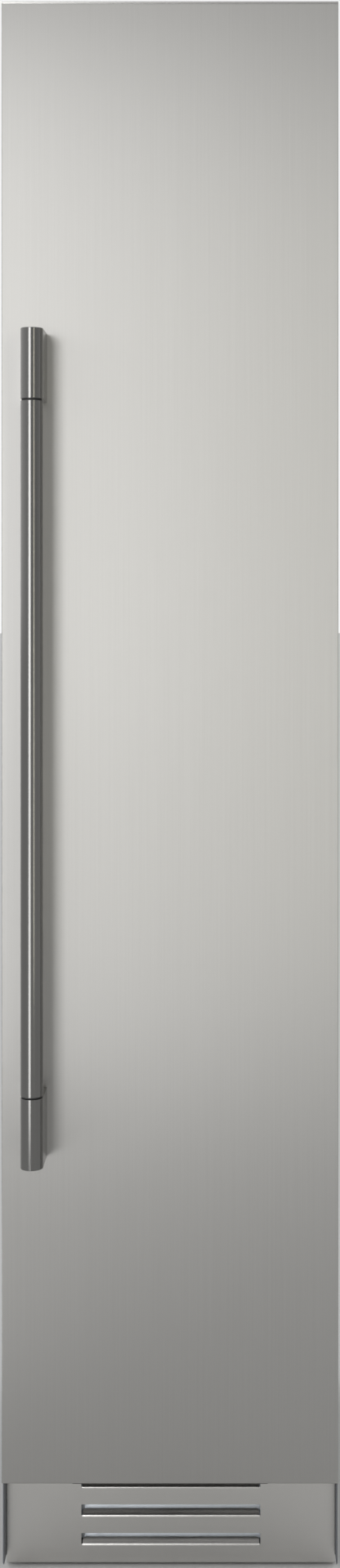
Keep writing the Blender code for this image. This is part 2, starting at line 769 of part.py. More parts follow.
def door_bin(name, height):
    """A clear bin, open above, with round front corners and slots that hook on the lugs."""
    half = BIN_HALF
    back = BIN_BACK_Y
    front = BIN_FRONT_Y

    def build(shape):
        add_cube(shape, (-half, back, height), (half, front, height + BIN_HEIGHT))
        gone = [face for face in shape.faces if face.normal.z > 0.9]
        bmesh.ops.delete(shape, geom=gone, context="FACES_ONLY")
        upright = [edge for edge in shape.edges if is_upright(edge) and edge.verts[0].co.y > front - FIT]
        bmesh.ops.bevel(shape, geom=upright, offset=BIN_CORNER, segments=5,
                        profile=ROUND_SHARE, affect="EDGES")
        sole = [edge for edge in shape.edges
                if all(vert.co.z < height + FIT for vert in edge.verts) and len(edge.link_faces) == 2]
        bmesh.ops.bevel(shape, geom=sole, offset=BIN_SOLE_EDGE, segments=2,
                        profile=ROUND_SHARE, affect="EDGES")
    shell = mesh_object(name, build)
    point_outward(shell, Vector((0.0, (back + front) / 2, height + BIN_HEIGHT / 2)))
    solidify(shell, BIN_WALL)
    return place(smooth(shell), "clear_plastic")


def is_upright(edge):
    first, second = edge.verts
    return abs(first.co.x - second.co.x) < FIT and abs(first.co.y - second.co.y) < FIT


# Handle

def handle_outline(back):
    """Half round in front, with flat flanks that run back to the door."""
    front = arc((HANDLE_X, HANDLE_Y), HANDLE_RADIUS, 180, 360)
    return [(HANDLE_X - HANDLE_RADIUS, back)] + front + [(HANDLE_X + HANDLE_RADIUS, back)]


def handle_block(name, low, high):
    obj = plate(name, handle_outline(FACE_Y - FIT), low, high, "Z")
    bevel(obj, BAR_EDGE, 2, 60.0)
    middle = (low + high) / 2
    cut(obj, rod(name + "_bore", (HANDLE_X, FACE_Y + OVERRUN, middle),
                 (HANDLE_X, FACE_Y - STUD_LENGTH - 2 * FIT, middle), STUD_RADIUS + FIT))
    return place(smooth(obj), "stainless")


def handle():
    pieces = [handle_block("handle_upper_block", HANDLE_TOP - BLOCK_HEIGHT, HANDLE_TOP),
              handle_block("handle_lower_block", HANDLE_BOTTOM, HANDLE_BOTTOM + BLOCK_HEIGHT)]
    bar_low = HANDLE_BOTTOM + BLOCK_HEIGHT + RING_HEIGHT + 2 * FIT
    bar_high = HANDLE_TOP - BLOCK_HEIGHT - RING_HEIGHT - 2 * FIT
    bar = rod("handle_bar", (HANDLE_X, HANDLE_Y, bar_low), (HANDLE_X, HANDLE_Y, bar_high), HANDLE_RADIUS, 32)
    bevel(bar, BAR_EDGE, 1, 60.0)
    pieces.append(place(smooth(bar), "stainless"))
    rings = (("handle_lower_ring", bar_low - FIT - RING_HEIGHT), ("handle_upper_ring", bar_high + FIT))
    for name, low in rings:
        ring = rod(name, (HANDLE_X, HANDLE_Y, low), (HANDLE_X, HANDLE_Y, low + RING_HEIGHT),
                   HANDLE_RADIUS - RING_STEP, 32)
        pieces.append(place(smooth(ring), "black"))
    studs = (("handle_upper_stud", HANDLE_TOP - BLOCK_HEIGHT / 2),
             ("handle_lower_stud", HANDLE_BOTTOM + BLOCK_HEIGHT / 2))
    for name, height in studs:
        tip = FACE_Y - STUD_LENGTH
        stud = rod(name, (HANDLE_X, FACE_Y - FIT, height), (HANDLE_X, tip, height), STUD_RADIUS)
        pieces.append(place(smooth(stud), "galvanised"))
    return pieces


# Hinge

def door_bush(name, mouth, inward):
    """A plain bush with a flange at its mouth; inward is the way it runs into the door."""
    bore = PIN_RADIUS + FIT
    profile = [(bore, inward * BUSH_LENGTH), (BUSH_RADIUS, inward * BUSH_LENGTH),
               (BUSH_RADIUS, -inward * FIT), (BUSH_FLANGE_RADIUS, -inward * FIT),
               (BUSH_FLANGE_RADIUS, -inward * (BUSH_FLANGE + FIT)), (bore, -inward * (BUSH_FLANGE + FIT))]
    if inward < 0:
        profile.reverse()
    bush = turned(name, profile, (HINGE_X, HINGE_Y, mouth))
    return place(smooth(bush), "black")


def hinge_bracket(name, mouth, inward):
    """A plate under the door with an upturned leg on the cabinet and a pin in its round eye."""
    near = mouth - inward * (BUSH_FLANGE + 2 * FIT)
    far = near - inward * BRACKET_THICKNESS
    leg_y = CASE_FRONT_Y - FIT
    right = HINGE_X + BRACKET_EYE - BRACKET_NARROWING
    outline = arc((HINGE_X, HINGE_Y), BRACKET_EYE, 180, 360)
    outline += [(right, leg_y), (right - BRACKET_WIDTH, leg_y),
                (right - BRACKET_WIDTH, leg_y - BRACKET_LEG - BRACKET_THICKNESS)]
    arm = plate(name, outline, min(near, far), max(near, far), "Z")
    away = near - inward * BRACKET_DROP
    leg_from, leg_to = sorted((near - inward * BRACKET_THICKNESS / 2, away))
    leg = block(name + "_leg", (right - BRACKET_WIDTH + FIT, leg_y - BRACKET_LEG, leg_from),
                (right - FIT, leg_y - FIT, leg_to))
    join(arm, leg)
    pin = rod(name + "_pin", (HINGE_X, HINGE_Y, near - inward * BRACKET_THICKNESS / 2),
              (HINGE_X, HINGE_Y, near + inward * PIN_LENGTH), PIN_RADIUS, 24)
    join(arm, pin)
    return place(smooth(arm), "galvanised")


# Cabinet

def case_side(name, side):
    """One side of the case, with its front flange and rear return folded in."""
    edge = CASE_HALF
    flange = LINER_HALF + FIT
    front = CASE_FRONT_Y
    back = BACK_Y
    path = [(flange, front), (edge, front), (edge, back), (edge - REAR_RETURN, back)]
    path = rounded(path, CASE_BEND)
    path = [(side * x, y) for x, y in path]
    if side > 0:
        path.reverse()
    obj = bent_sheet(name, path, CASE_BOTTOM, CASE_TOP, "Z", CASE_SKIN)
    return place(smooth(obj), "painted")


def case_top():
    """The top of the case; its front flange fits between the flanges of the sides."""
    front = CASE_FRONT_Y
    drop = CAVITY_TOP + CABINET_LINER + FIT
    half = CASE_HALF - CASE_SKIN - FIT
    path = [(front + CASE_SKIN + FIT, CASE_TOP), (BACK_Y - CASE_SKIN - FIT, CASE_TOP)]
    lid = bent_sheet("case_top", path, -half, half, "X", CASE_SKIN)
    face = LINER_HALF
    flange = block("case_top_flange", (-face, front, drop), (face, front + CASE_SKIN, CASE_TOP))
    tie = block("case_top_tie", (-face, front + CASE_SKIN / 2, CASE_TOP - CASE_SKIN),
                (face, front + CASE_SKIN + CASE_BEND, CASE_TOP))
    join(lid, flange)
    join(lid, tie)
    return place(lid, "painted")


def case_back():
    """The rear panel above the machine compartment, set between the sides' rear returns."""
    half = CASE_HALF - REAR_RETURN - FIT
    low = (-half, BACK_Y - CASE_SKIN, FOAM_HUMP_TOP + CASE_SKIN)
    panel = block("case_back", low, (half, BACK_Y, CASE_TOP - CASE_SKIN - FIT))
    return place(panel, "galvanised")


def case_floor():
    """The folded floor: front sill, compartment roof and the step over the compressor."""
    floor = FOAM_FLOOR - FIT
    wall = FOAM_HUMP_Y + FIT
    roof = FOAM_HUMP_TOP - FIT
    path = rounded([(BACK_Y - CASE_SKIN, roof), (wall, roof), (wall, floor), (CASE_FRONT_Y, floor),
                    (CASE_FRONT_Y, CAVITY_FLOOR - CABINET_LINER - FIT)], CASE_BEND)
    half = LINER_HALF
    sheet = bent_sheet("case_floor", path, -half, half, "X", CASE_SKIN)
    return place(smooth(sheet), "galvanised")


def cavity_outline(grow):
    """The freezing space seen from the side, with the step over the compressor."""
    floor = CAVITY_FLOOR - grow
    step = HUMP_Y + grow
    ledge = HUMP_TOP - grow
    back = CAVITY_BACK_Y + grow
    top = CAVITY_TOP + grow
    return [(CASE_FRONT_Y, floor), (step, floor), (step, ledge), (back, ledge), (back, top),
            (CASE_FRONT_Y, top)]


def foam_core():
    front = CASE_FRONT_Y + CASE_SKIN + FIT
    back = BACK_Y - CASE_SKIN - FIT
    top = CASE_TOP - CASE_SKIN - FIT
    bottom = FOAM_FLOOR + CASE_SKIN
    wall = FOAM_HUMP_Y - CASE_SKIN
    roof = FOAM_HUMP_TOP + CASE_SKIN
    half = CASE_HALF - CASE_SKIN - FIT
    outline = [(front, bottom), (wall, bottom), (wall, roof), (back, roof), (back, top), (front, top)]
    foam = plate("foam_core", outline, -half, half, "X")
    grow = CABINET_LINER + FIT
    hollow = [(front - OVERRUN if y == CASE_FRONT_Y else y, z) for y, z in cavity_outline(grow)]
    cut(foam, plate("cavity_space", hollow, -CAVITY_HALF - grow, CAVITY_HALF + grow, "X"))
    return place(foam, "foam")


def inner_liner():
    """The moulded cabinet liner, open in front, with ledges for the shelves and drawers."""
    liner = plate("inner_liner", cavity_outline(0.0), -CAVITY_HALF, CAVITY_HALF, "X")
    shape = bmesh.new()
    shape.from_mesh(liner.data)
    mouth = [face for face in shape.faces
             if all(abs(vert.co.y - CASE_FRONT_Y) < FIT for vert in face.verts)]
    bmesh.ops.delete(shape, geom=mouth, context="FACES_ONLY")
    shape.to_mesh(liner.data)
    shape.free()
    solidify(liner, CABINET_LINER, 1.0)
    ledges = []
    for height in SHELF_HEIGHTS:
        top = height - SHELF_FRAME_DROP - FIT
        ledges.append((SHELF_FRONT_Y, EVAP_COVER_Y - FIT, top))
    for floor, top in DRAWERS.values():
        ledges.append((DRAWER_FRONT_Y + DRAWER_CORNER, drawer_back(floor), top - DRAWER_RIM_HEIGHT - FIT))
    bars = []
    for start, end, top in ledges:
        for side in (-1, 1):
            ends = sorted((side * (CAVITY_HALF - LEDGE_DEPTH), side * (CAVITY_HALF + CABINET_LINER / 2)))
            bars.append(((ends[0], start, top - LEDGE_HEIGHT), (ends[1], end, top)))
    join(liner, blocks("liner_ledges", bars))
    return place(liner, "white_plastic")


def drawer_back(floor):
    """The rearmost place of a drawer, in front of the step or of the evaporator cover."""
    if floor < HUMP_TOP:
        return HUMP_Y - DRAWER_SIDE_GAP
    return EVAP_COVER_Y - DRAWER_SIDE_GAP


# Base, kick plate, legs and rollers

def base_pan():
    """The floor pan: a deep channel whose cheeks show beside the kick plate."""
    path = rounded([(BASE_HALF, KICK_TOP), (BASE_HALF, BASE_CLEARANCE), (-BASE_HALF, BASE_CLEARANCE),
                    (-BASE_HALF, KICK_TOP)], BASE_BEND)
    pan = bent_sheet("base_pan", path, FACE_Y + CHEEK_SETBACK, BACK_Y - COVER_SHEET - FIT, "Y", BASE_SHEET)
    inner = BASE_HALF - BASE_SHEET
    cut(pan, block("cheek_space", (-inner, FACE_Y, 0.0), (inner, BASE_FRONT_Y, BASE_TOP + BASE_BEND)))
    legs = leg_places()
    for index, (x, y) in enumerate(legs):
        boss = rod("leg_boss_%d" % index, (x, y, BASE_CLEARANCE + BASE_SHEET / 2),
                   (x, y, BASE_TOP + BOSS_HEIGHT), BOSS_RADIUS)
        join(pan, boss)
    for index, (x, y) in enumerate(legs):
        above = BASE_TOP + BOSS_HEIGHT + OVERRUN
        cut(pan, rod("leg_hole_%d" % index, (x, y, 0.0), (x, y, above), STEM_RADIUS + FIT))
    windows = []
    for x, y in roller_places():
        wide = BRACKET_HALF - BRACKET_SHEET / 2
        long = ROLLER_RADIUS + BRACKET_PLAY
        windows.append(((x - wide, y - long, 0.0), (x + wide, y + long, BASE_TOP + OVERRUN)))
    cut(pan, blocks("roller_windows", windows))
    return place(smooth(pan), "galvanised")


def leg_places():
    reach = BASE_HALF - LEG_INSET
    return ((-reach, FACE_Y + LEG_DEPTH), (reach, FACE_Y + LEG_DEPTH))


def roller_places():
    return ((-ROLLER_X, BACK_Y - ROLLER_BACK), (ROLLER_X, BACK_Y - ROLLER_BACK))


def kick_plate():
    """A folded sheet with three slots; each slot's tab is bent back from its lower edge."""
    half = HALF_WIDTH - KICK_INSET
    rear = KICK_Y + KICK_RETURN
    path = rounded([(rear, KICK_BOTTOM), (KICK_Y, KICK_BOTTOM), (KICK_Y, KICK_TOP), (rear, KICK_TOP)],
                   KICK_SHEET + KICK_EDGE)
    panel = bent_sheet("kick_plate", path, -half, half, "X", KICK_SHEET)
    slots = []
    for index in range(LOUVRE_COUNT):
        bottom = LOUVRE_BOTTOM + index * LOUVRE_PITCH
        slots.append(((-LOUVRE_LENGTH / 2, KICK_Y - OVERRUN, bottom),
                      (LOUVRE_LENGTH / 2, KICK_Y + KICK_RETURN / 2, bottom + LOUVRE_HEIGHT)))
    cut(panel, blocks("louvre_slots", slots))
    for index in range(LOUVRE_COUNT):
        join(panel, louvre_tab(index))
    return place(smooth(panel), "stainless")


def louvre_tab(index):
    """The strip that stays on a slot's lower edge, bent back at the lean angle."""
    bottom = LOUVRE_BOTTOM + index * LOUVRE_PITCH
    lean = math.radians(TAB_LEAN)
    face = KICK_Y + KICK_SHEET / 20
    start = Vector((face, bottom - KICK_SHEET))
    knee = Vector((face, bottom + KICK_SHEET))
    tip = knee + Vector((math.sin(lean), math.cos(lean))) * TAB_LENGTH
    half = LOUVRE_LENGTH / 2 - TAB_RELIEF
    return bent_sheet("louvre_tab_%d" % index, rounded([start, knee, tip], TAB_BEND), -half, half, "X",
                      TAB_SHEET, TAB_CORNER)


def kick_baffle():
    """A galvanised screen behind the louvres, folded over at its top."""
    y = KICK_Y + BAFFLE_SPACE
    half = BASE_HALF - BASE_SHEET - KICK_RETURN
    top = KICK_TOP - KICK_RETURN
    path = rounded([(y, BASE_TOP + FIT), (y, top), (y + KICK_RETURN, top)], BASE_BEND)
    baffle = bent_sheet("kick_baffle", path, -half, half, "X", KICK_SHEET)
    return place(smooth(baffle), "galvanised")


def levelling_leg(name, x, y):
    under = BASE_CLEARANCE - FIT
    profile = [(0.0, STEM_TOP), (STEM_RADIUS, STEM_TOP), (STEM_RADIUS, under), (COLLAR_RADIUS, under),
               (COLLAR_RADIUS, PAD_HEIGHT), (PAD_RADIUS, PAD_HEIGHT / 2), (PAD_RADIUS, 0.0), (0.0, 0.0)]
    leg = turned(name, profile, (x, y, 0.0))
    return place(smooth(leg), "grey_plastic")


def roller(name, x, y):
    half = ROLLER_WIDTH / 2
    inner = half - ROLLER_HUB_STEP
    rim = ROLLER_RADIUS - ROLLER_EDGE
    profile = [(AXLE_RADIUS + FIT, half), (ROLLER_HUB, half), (ROLLER_HUB, inner)]
    profile += arc((rim, inner - ROLLER_EDGE), ROLLER_EDGE, 90, 0, 2)
    profile += [(radius, -height) for radius, height in reversed(profile)]
    wheel = turned(name, profile, (x, y, ROLLER_RADIUS), "X", 16)
    return place(smooth(wheel), "black")


def roller_bracket(name, x, y):
    """A channel over the roller that stands on the pan, with the axle across it."""
    roof = 2 * ROLLER_RADIUS + BRACKET_PLAY + BRACKET_SHEET
    foot = BASE_TOP + FIT
    path = rounded([(x - BRACKET_HALF, foot), (x - BRACKET_HALF, roof), (x + BRACKET_HALF, roof),
                    (x + BRACKET_HALF, foot)], BRACKET_SHEET + CASE_BEND)
    channel = bent_sheet(name, path, y - BRACKET_LENGTH / 2, y + BRACKET_LENGTH / 2, "Y", BRACKET_SHEET)
    reach = BRACKET_HALF - BRACKET_SHEET / 2 - FIT
    axle = rod(name + "_axle", (x - reach, y, ROLLER_RADIUS), (x + reach, y, ROLLER_RADIUS), AXLE_RADIUS, 20)
    join(channel, axle)
    return place(smooth(channel), "galvanised")


# Machine compartment

def compressor():
    """A welded pot on its base plate, with a belt seam and a stub for the pipes."""
    base = BASE_TOP + FIT
    foot = base + COMPRESSOR_FOOT
    top = foot + COMPRESSOR_HEIGHT
    seam = foot + COMPRESSOR_HEIGHT * SEAM_SHARE
    crown = COMPRESSOR_CROWN
    radius = COMPRESSOR_RADIUS
    profile = [(0.0, top)] + arc((radius - crown, top - crown), crown, 90, 0, 4)
    profile += [(radius, seam + COMPRESSOR_BELT), (radius + COMPRESSOR_BELT, seam + COMPRESSOR_BELT),
                (radius + COMPRESSOR_BELT, seam - COMPRESSOR_BELT), (radius, seam - COMPRESSOR_BELT)]
    profile += arc((radius - crown, foot + crown), crown, 0, -90, RIM_STEPS) + [(0.0, foot)]
    pot = turned("compressor", profile, (COMPRESSOR_X, COMPRESSOR_Y, 0.0), "Z", 24)
    plate_low = (COMPRESSOR_X - radius, COMPRESSOR_Y - radius / 2, foot - 2 * FIT)
    plate_high = (COMPRESSOR_X + radius, COMPRESSOR_Y + radius / 2, foot + COMPRESSOR_PLATE)
    join(pot, block("compressor_feet", plate_low, plate_high))
    for index, (sign_x, sign_y) in enumerate(((-1, -1), (-1, 1), (1, -1), (1, 1))):
        x = COMPRESSOR_X + sign_x * (radius - COMPRESSOR_FOOT)
        y = COMPRESSOR_Y + sign_y * (radius / 2 - COMPRESSOR_FOOT)
        join(pot, rod("compressor_grommet_%d" % index, (x, y, base), (x, y, foot + COMPRESSOR_PLATE / 2),
                      COMPRESSOR_GROMMET, 12))
    stub_z = top - crown
    join(pot, rod("compressor_stub", (COMPRESSOR_X - radius + COMPRESSOR_BELT, COMPRESSOR_Y, stub_z),
                  (COMPRESSOR_X - radius - STUB_LENGTH, COMPRESSOR_Y, stub_z), STUB_RADIUS, 12))
    return place(smooth(pot), "black_steel")


def serpentine(run, rise, passes, bend_steps=RIM_STEPS):
    """Points of a tube that runs to and fro along X and climbs in Z."""
    pitch = rise / (passes - 1)
    reach = run / 2 - pitch / 2
    points = []
    for index in range(passes):
        side = 1 if index % 2 == 0 else -1
        height = index * pitch - rise / 2
        points += [(-side * reach, 0.0, height), (side * reach, 0.0, height)]
        if index < passes - 1:
            bend = arc((side * reach, height + pitch / 2), pitch / 2, -90, 180 * side - 90, bend_steps)
            points += [(x, 0.0, z) for x, z in bend[1:-1]]
    return points


def finned_coil(name, centre, size, passes, fins, look, turn=0.0):
    """A serpentine tube with flat fins that it passes through, turned about Z in degrees."""
    width, depth, height = size
    rise = height - 4 * COIL_TUBE
    coil = tube_path(name, serpentine(width, rise, passes), COIL_TUBE, 1)
    span = width - 2 * rise / (passes - 1)
    boxes = []
    for index in range(fins):
        at = span * index / (fins - 1) - span / 2
        half = Vector((COIL_FIN, depth, height)) / 2
        middle = Vector((at, 0.0, 0.0))
        boxes.append((middle - half, middle + half))
    stack = blocks(name + "_fins", boxes)
    for obj in (coil, stack):
        obj.matrix_world = Matrix.Translation(centre) @ Matrix.Rotation(math.radians(turn), 4, "Z")
    join(coil, stack)
    return place(coil, look)


def condenser():
    """The coil between the left roller and the fan's ring plate, its tube running front to back."""
    left = BRACKET_HALF + COIL_SPACE - ROLLER_X
    right = SHROUD_X - SHROUD_LIP / 2 - COIL_SPACE
    centre = ((left + right) / 2, COMPRESSOR_Y, BASE_TOP + FIT + CONDENSER_HEIGHT / 2)
    size = (2 * (COMPRESSOR_BACK - COIL_SPACE), right - left, CONDENSER_HEIGHT)
    return finned_coil("condenser_coil", centre, size, CONDENSER_PASSES, CONDENSER_FINS, "copper", 90.0)


def fan_blade(shape, turn):
    """One twisted blade, steep at the hub and flatter at its tip."""
    rows = []
    stations = 3
    for index in range(stations):
        share = index / (stations - 1)
        root = FAN_HUB * FAN_ROOT_SHARE
        reach = root + (FAN_RADIUS - SHROUD_GAP / 2 - root) * share
        pitch = math.radians(FAN_PITCH_ROOT + (FAN_PITCH_TIP - FAN_PITCH_ROOT) * share)
        chord = FAN_ROOT_CHORD + (FAN_TIP_CHORD - FAN_ROOT_CHORD) * share
        row = []
        for along in FAN_CHORD_SHARES:
            across = chord * along
            camber = FAN_BLADE * (1 - 4 * along * along)
            flat = Vector((reach, across * math.cos(pitch) - camber * math.sin(pitch),
                           across * math.sin(pitch) * FAN_FLATTEN_SHARE + camber * math.cos(pitch)))
            row.append(shape.verts.new(turn @ flat))
        rows.append(row)
    faces = []
    for near, far in zip(rows, rows[1:]):
        for index in range(2):
            faces.append(shape.faces.new((near[index], far[index], far[index + 1], near[index + 1])))
    return faces


def fan(name, centre, axis):
    """A hub with twisted blades, its axis through centre."""
    shape = bmesh.new()
    for index in range(FAN_BLADES):
        fan_blade(shape, Matrix.Rotation(math.tau * index / FAN_BLADES, 3, "Z"))
    mesh = bpy.data.meshes.new(name + "_blades")
    shape.to_mesh(mesh)
    shape.free()
    blades = bpy.data.objects.new(name + "_blades", mesh)
    bpy.context.scene.collection.objects.link(blades)
    solidify(blades, FAN_BLADE, 0.0)
    half = FAN_HUB_HEIGHT / 2
    bore = MOTOR_SHAFT + FIT
    profile = [(bore, half), (FAN_HUB - CASE_BEND, half), (FAN_HUB, half - CASE_BEND), (FAN_HUB, -half),
               (bore, -half)]
    hub = turned(name, profile, centre, axis, 16)
    blades.matrix_world = hub.matrix_world.copy()
    join(hub, blades)
    return place(smooth(hub), "grey_plastic")


def condenser_fan_set():
    """The fan, its ring plate and its motor on two arms, between coil and compressor."""
    half = SHROUD_HALF
    x = SHROUD_X
    y = COMPRESSOR_Y
    z = BASE_TOP + FIT + half
    fan("condenser_fan", (x, y, z), "X")
    shroud = open_box("condenser_fan_shroud", (x - SHROUD_LIP / 2, y - half, z - half),
                      (x + SHROUD_LIP / 2, y + half, z + half), (1, 0, 0))
    solidify(shroud, SHROUD_SHEET)
    hole = FAN_RADIUS + SHROUD_GAP
    cut(shroud, rod("shroud_hole", (x - SHROUD_LIP, y, z), (x + SHROUD_LIP, y, z), hole, 32))
    place(smooth(shroud), "black")
    seat = x + SHROUD_LIP / 2 + FIT
    fan_motor("condenser_fan_motor", (x, y, z), "X", (seat, y - half, z - MOTOR_ARM / 2),
              (seat + MOTOR_MOUNT, y + half, z + MOTOR_ARM / 2))


def fan_motor(name, centre, axis, mount_low, mount_high):
    """A can motor whose shaft carries the hub, held by a flat plate between two corners."""
    start = FAN_HUB_HEIGHT / 2 + FIT
    profile = [(0.0, start + MOTOR_LENGTH), (MOTOR_RADIUS, start + MOTOR_LENGTH), (MOTOR_RADIUS, start),
               (MOTOR_SHAFT, start), (MOTOR_SHAFT, -start), (0.0, -start)]
    motor = turned(name, profile, centre, axis, 16)
    join(motor, block(name + "_mount", mount_low, mount_high))
    return place(smooth(motor), "black_steel")


def drain_pan():
    y = COMPRESSOR_Y - COMPRESSOR_BACK - DRAIN_PAN_SPACE - DRAIN_PAN_LENGTH
    half = BASE_HALF - DRAIN_PAN_SIDE_SPACE
    low = (-half, y, BASE_TOP + FIT)
    high = (half, y + DRAIN_PAN_LENGTH, BASE_TOP + FIT + DRAIN_PAN_HEIGHT)
    pan = open_box("drain_pan", low, high, (0, 0, 1))
    bevel(pan, CONTROL_BOX_EDGE)
    solidify(pan, DRAIN_PAN_WALL)
    return place(smooth(pan), "black")


def filter_drier():
    y = COMPRESSOR_Y - COMPRESSOR_RADIUS - 2 * DRIER_RADIUS
    z = BASE_TOP + FIT + DRIER_RADIUS
    neck = DRIER_NECK
    half = DRIER_LENGTH / 2
    slope = DRIER_RADIUS
    profile = [(0.0, half + slope), (neck, half + slope), (neck, half), (DRIER_RADIUS, half - slope),
               (DRIER_RADIUS, slope - half), (neck, -half), (neck, -half - slope), (0.0, -half - slope)]
    drier = turned("filter_drier", profile, (COMPRESSOR_X, y, z), "X", 16)
    return place(smooth(drier), "copper")


def electronics_box():
    low = (-CONTROL_BOX_WIDTH, FOAM_HUMP_Y + 2 * FIT, FOAM_HUMP_TOP - 2 * FIT - CONTROL_BOX_HEIGHT)
    high = (low[0] + CONTROL_BOX_WIDTH, low[1] + CONTROL_BOX_DEPTH, low[2] + CONTROL_BOX_HEIGHT)
    box = block("electronics_box", low, high, CONTROL_BOX_EDGE, 2)
    return place(smooth(box), "grey_plastic")


def power_inlet():
    """A recessed mains inlet, set flush in the machine cover."""
    half = INLET_WIDTH / 2
    low = BASE_TOP + INLET_HEIGHT
    high = low + INLET_HEIGHT
    body = block("power_inlet", (-half, BACK_Y - INLET_DEPTH, low), (half, BACK_Y, high), INLET_WALL / 2, 2)
    socket = block("inlet_socket", (INLET_WALL - half, BACK_Y - INLET_SOCKET, low + INLET_WALL),
                   (half - INLET_WALL, BACK_Y + OVERRUN, high - INLET_WALL))
    cut(body, socket)
    return place(body, "black")


def machine_cover():
    """The rear grille of the machine compartment, slotted in two fields."""
    half = CASE_HALF - REAR_RETURN - FIT
    low = (-half, BACK_Y - COVER_SHEET, BASE_TOP + FIT)
    high = (half, BACK_Y, FOAM_HUMP_TOP - 3 * FIT)
    cover = block("machine_cover", low, high)
    slots = []
    rise = high[2] - low[2]
    field = rise * COVER_FIELD_SHARE
    first = low[2] + rise * COVER_START_SHARE
    for index in range(COVER_SLOTS):
        z = first + field * index / COVER_SLOTS
        for side in (-1, 1):
            x = side * half / 2
            slots.append(((x - COVER_SLOT_LENGTH / 2, BACK_Y - OVERRUN, z),
                          (x + COVER_SLOT_LENGTH / 2, BACK_Y + OVERRUN, z + COVER_SLOT_HEIGHT)))
    z = BASE_TOP + INLET_HEIGHT
    slots.append(((-INLET_WIDTH / 2 - FIT, BACK_Y - OVERRUN, z - FIT),
                  (INLET_WIDTH / 2 + FIT, BACK_Y + OVERRUN, z + INLET_HEIGHT + FIT)))
    cut(cover, blocks("cover_slots", slots))
    return place(cover, "galvanised")


# Evaporator

def evaporator():
    """The coil, its fan and motor, and the cover in front of them with its grilles."""
    half = EVAP_COVER_HALF
    wall = CAVITY_BACK_Y - FIT
    bottom = HUMP_TOP + EVAP_COVER_GAP
    top = CAVITY_TOP - EVAP_COVER_GAP
    cover = open_box("evaporator_cover", (-half, EVAP_COVER_Y, bottom), (half, wall, top), (0, 1, 0))
    bevel(cover, EVAP_COVER_EDGE)
    solidify(cover, EVAP_COVER_WALL)
    coil_z = bottom + EVAP_COIL_LIFT + EVAP_COIL_HEIGHT / 2
    size = (2 * (half - EVAP_COIL_SIDE_SPACE), EVAP_COIL_DEPTH, EVAP_COIL_HEIGHT)
    centre = (0.0, wall - EVAP_COIL_DEPTH / 2, coil_z)
    finned_coil("evaporator_coil", centre, size, EVAP_PASSES, EVAP_FINS, "aluminium")
    fan_z = coil_z + EVAP_COIL_HEIGHT / 2 + EVAP_FAN_LIFT
    fan("evaporator_fan", (0.0, EVAP_FAN_Y, fan_z), "Y")
    foot = wall - MOTOR_FOOT - MOTOR_MOUNT
    fan_motor("evaporator_fan_motor", (0.0, EVAP_FAN_Y, fan_z), "Y",
              (-FAN_RADIUS, foot, fan_z - MOTOR_ARM), (FAN_RADIUS, wall, fan_z + MOTOR_ARM))
    slots = []
    for index in range(GRILLE_SLOTS):
        x = -GRILLE_SPAN / 2 + GRILLE_SPAN * index / (GRILLE_SLOTS - 1)
        for z in (fan_z, bottom + EVAP_COIL_LIFT):
            tall = GRILLE_SPAN / 2 if z == fan_z else GRILLE_SPAN / 4
            slots.append(((x - GRILLE_SLOT_WIDTH / 2, EVAP_COVER_Y - OVERRUN, z - tall),
                          (x + GRILLE_SLOT_WIDTH / 2, EVAP_COVER_Y + 2 * EVAP_COVER_WALL, z + tall)))
    cut(cover, blocks("evaporator_grilles", slots))
    return place(smooth(cover), "white_plastic")


# Shelves, drawers, lights and controls

def shelf(name, height):
    """A glass plate in a moulded frame with a deeper front and rear bar."""
    half = CAVITY_HALF - SHELF_SIDE_GAP
    front = SHELF_FRONT_Y
    back = EVAP_COVER_Y - FIT
    under = height - SHELF_FRAME_DROP
    seat = height - SHELF_THICKNESS / 2
    glass = block(name, (-half, front, height - SHELF_THICKNESS), (half, back, height),
                  SHELF_THICKNESS / 4, 1)
    bars = [((-half, front, under), (half, front + SHELF_FRAME, seat)),
            ((-half, back - SHELF_FRAME, under), (half, back, seat))]
    join(glass, blocks(name + "_bars", bars))
    return place(glass, "glass")


def drawer(name):
    """A drafted basket, open above, with a rim that runs on the ledges and a pull in front."""
    floor, top = DRAWERS[name]
    half = CAVITY_HALF - DRAWER_SIDE_GAP
    front = DRAWER_FRONT_Y
    back = drawer_back(floor)

    def build(shape):
        add_cube(shape, (-half, front, floor), (half, back, top))
        for vert in shape.verts:
            if vert.co.z < (floor + top) / 2:
                vert.co.x -= math.copysign(DRAWER_DRAFT, vert.co.x)
                vert.co.y += DRAWER_DRAFT if vert.co.y < (front + back) / 2 else -DRAWER_DRAFT
        gone = [face for face in shape.faces if face.normal.z > 0.9]
        bmesh.ops.delete(shape, geom=gone, context="FACES_ONLY")
        corners = [edge for edge in shape.edges if edge.is_manifold]
        bmesh.ops.bevel(shape, geom=corners, offset=DRAWER_CORNER, segments=2,
                        profile=ROUND_SHARE, affect="EDGES")
    basket = mesh_object(name, build)
    point_outward(basket, Vector((0.0, (front + back) / 2, (floor + top) / 2)))
    solidify(basket, DRAWER_WALL)
    rims = []
    for side in (-1, 1):
        ends = sorted((side * (half - DRAWER_WALL / 2), side * (half + DRAWER_RIM)))
        rims.append(((ends[0], front + DRAWER_CORNER, top - DRAWER_RIM_HEIGHT),
                     (ends[1], back - DRAWER_CORNER, top - FIT)))
    join(basket, blocks(name + "_rims", rims))
    pull = block(name + "_pull", (-half / 2, front - DRAWER_PULL_REACH, top - DRAWER_PULL_HEIGHT),
                 (half / 2, front + DRAWER_WALL / 2, top - DRAWER_PULL_HEIGHT + DRAWER_PULL_SHEET))
    join(basket, pull)
    return place(smooth(basket), "clear_plastic")


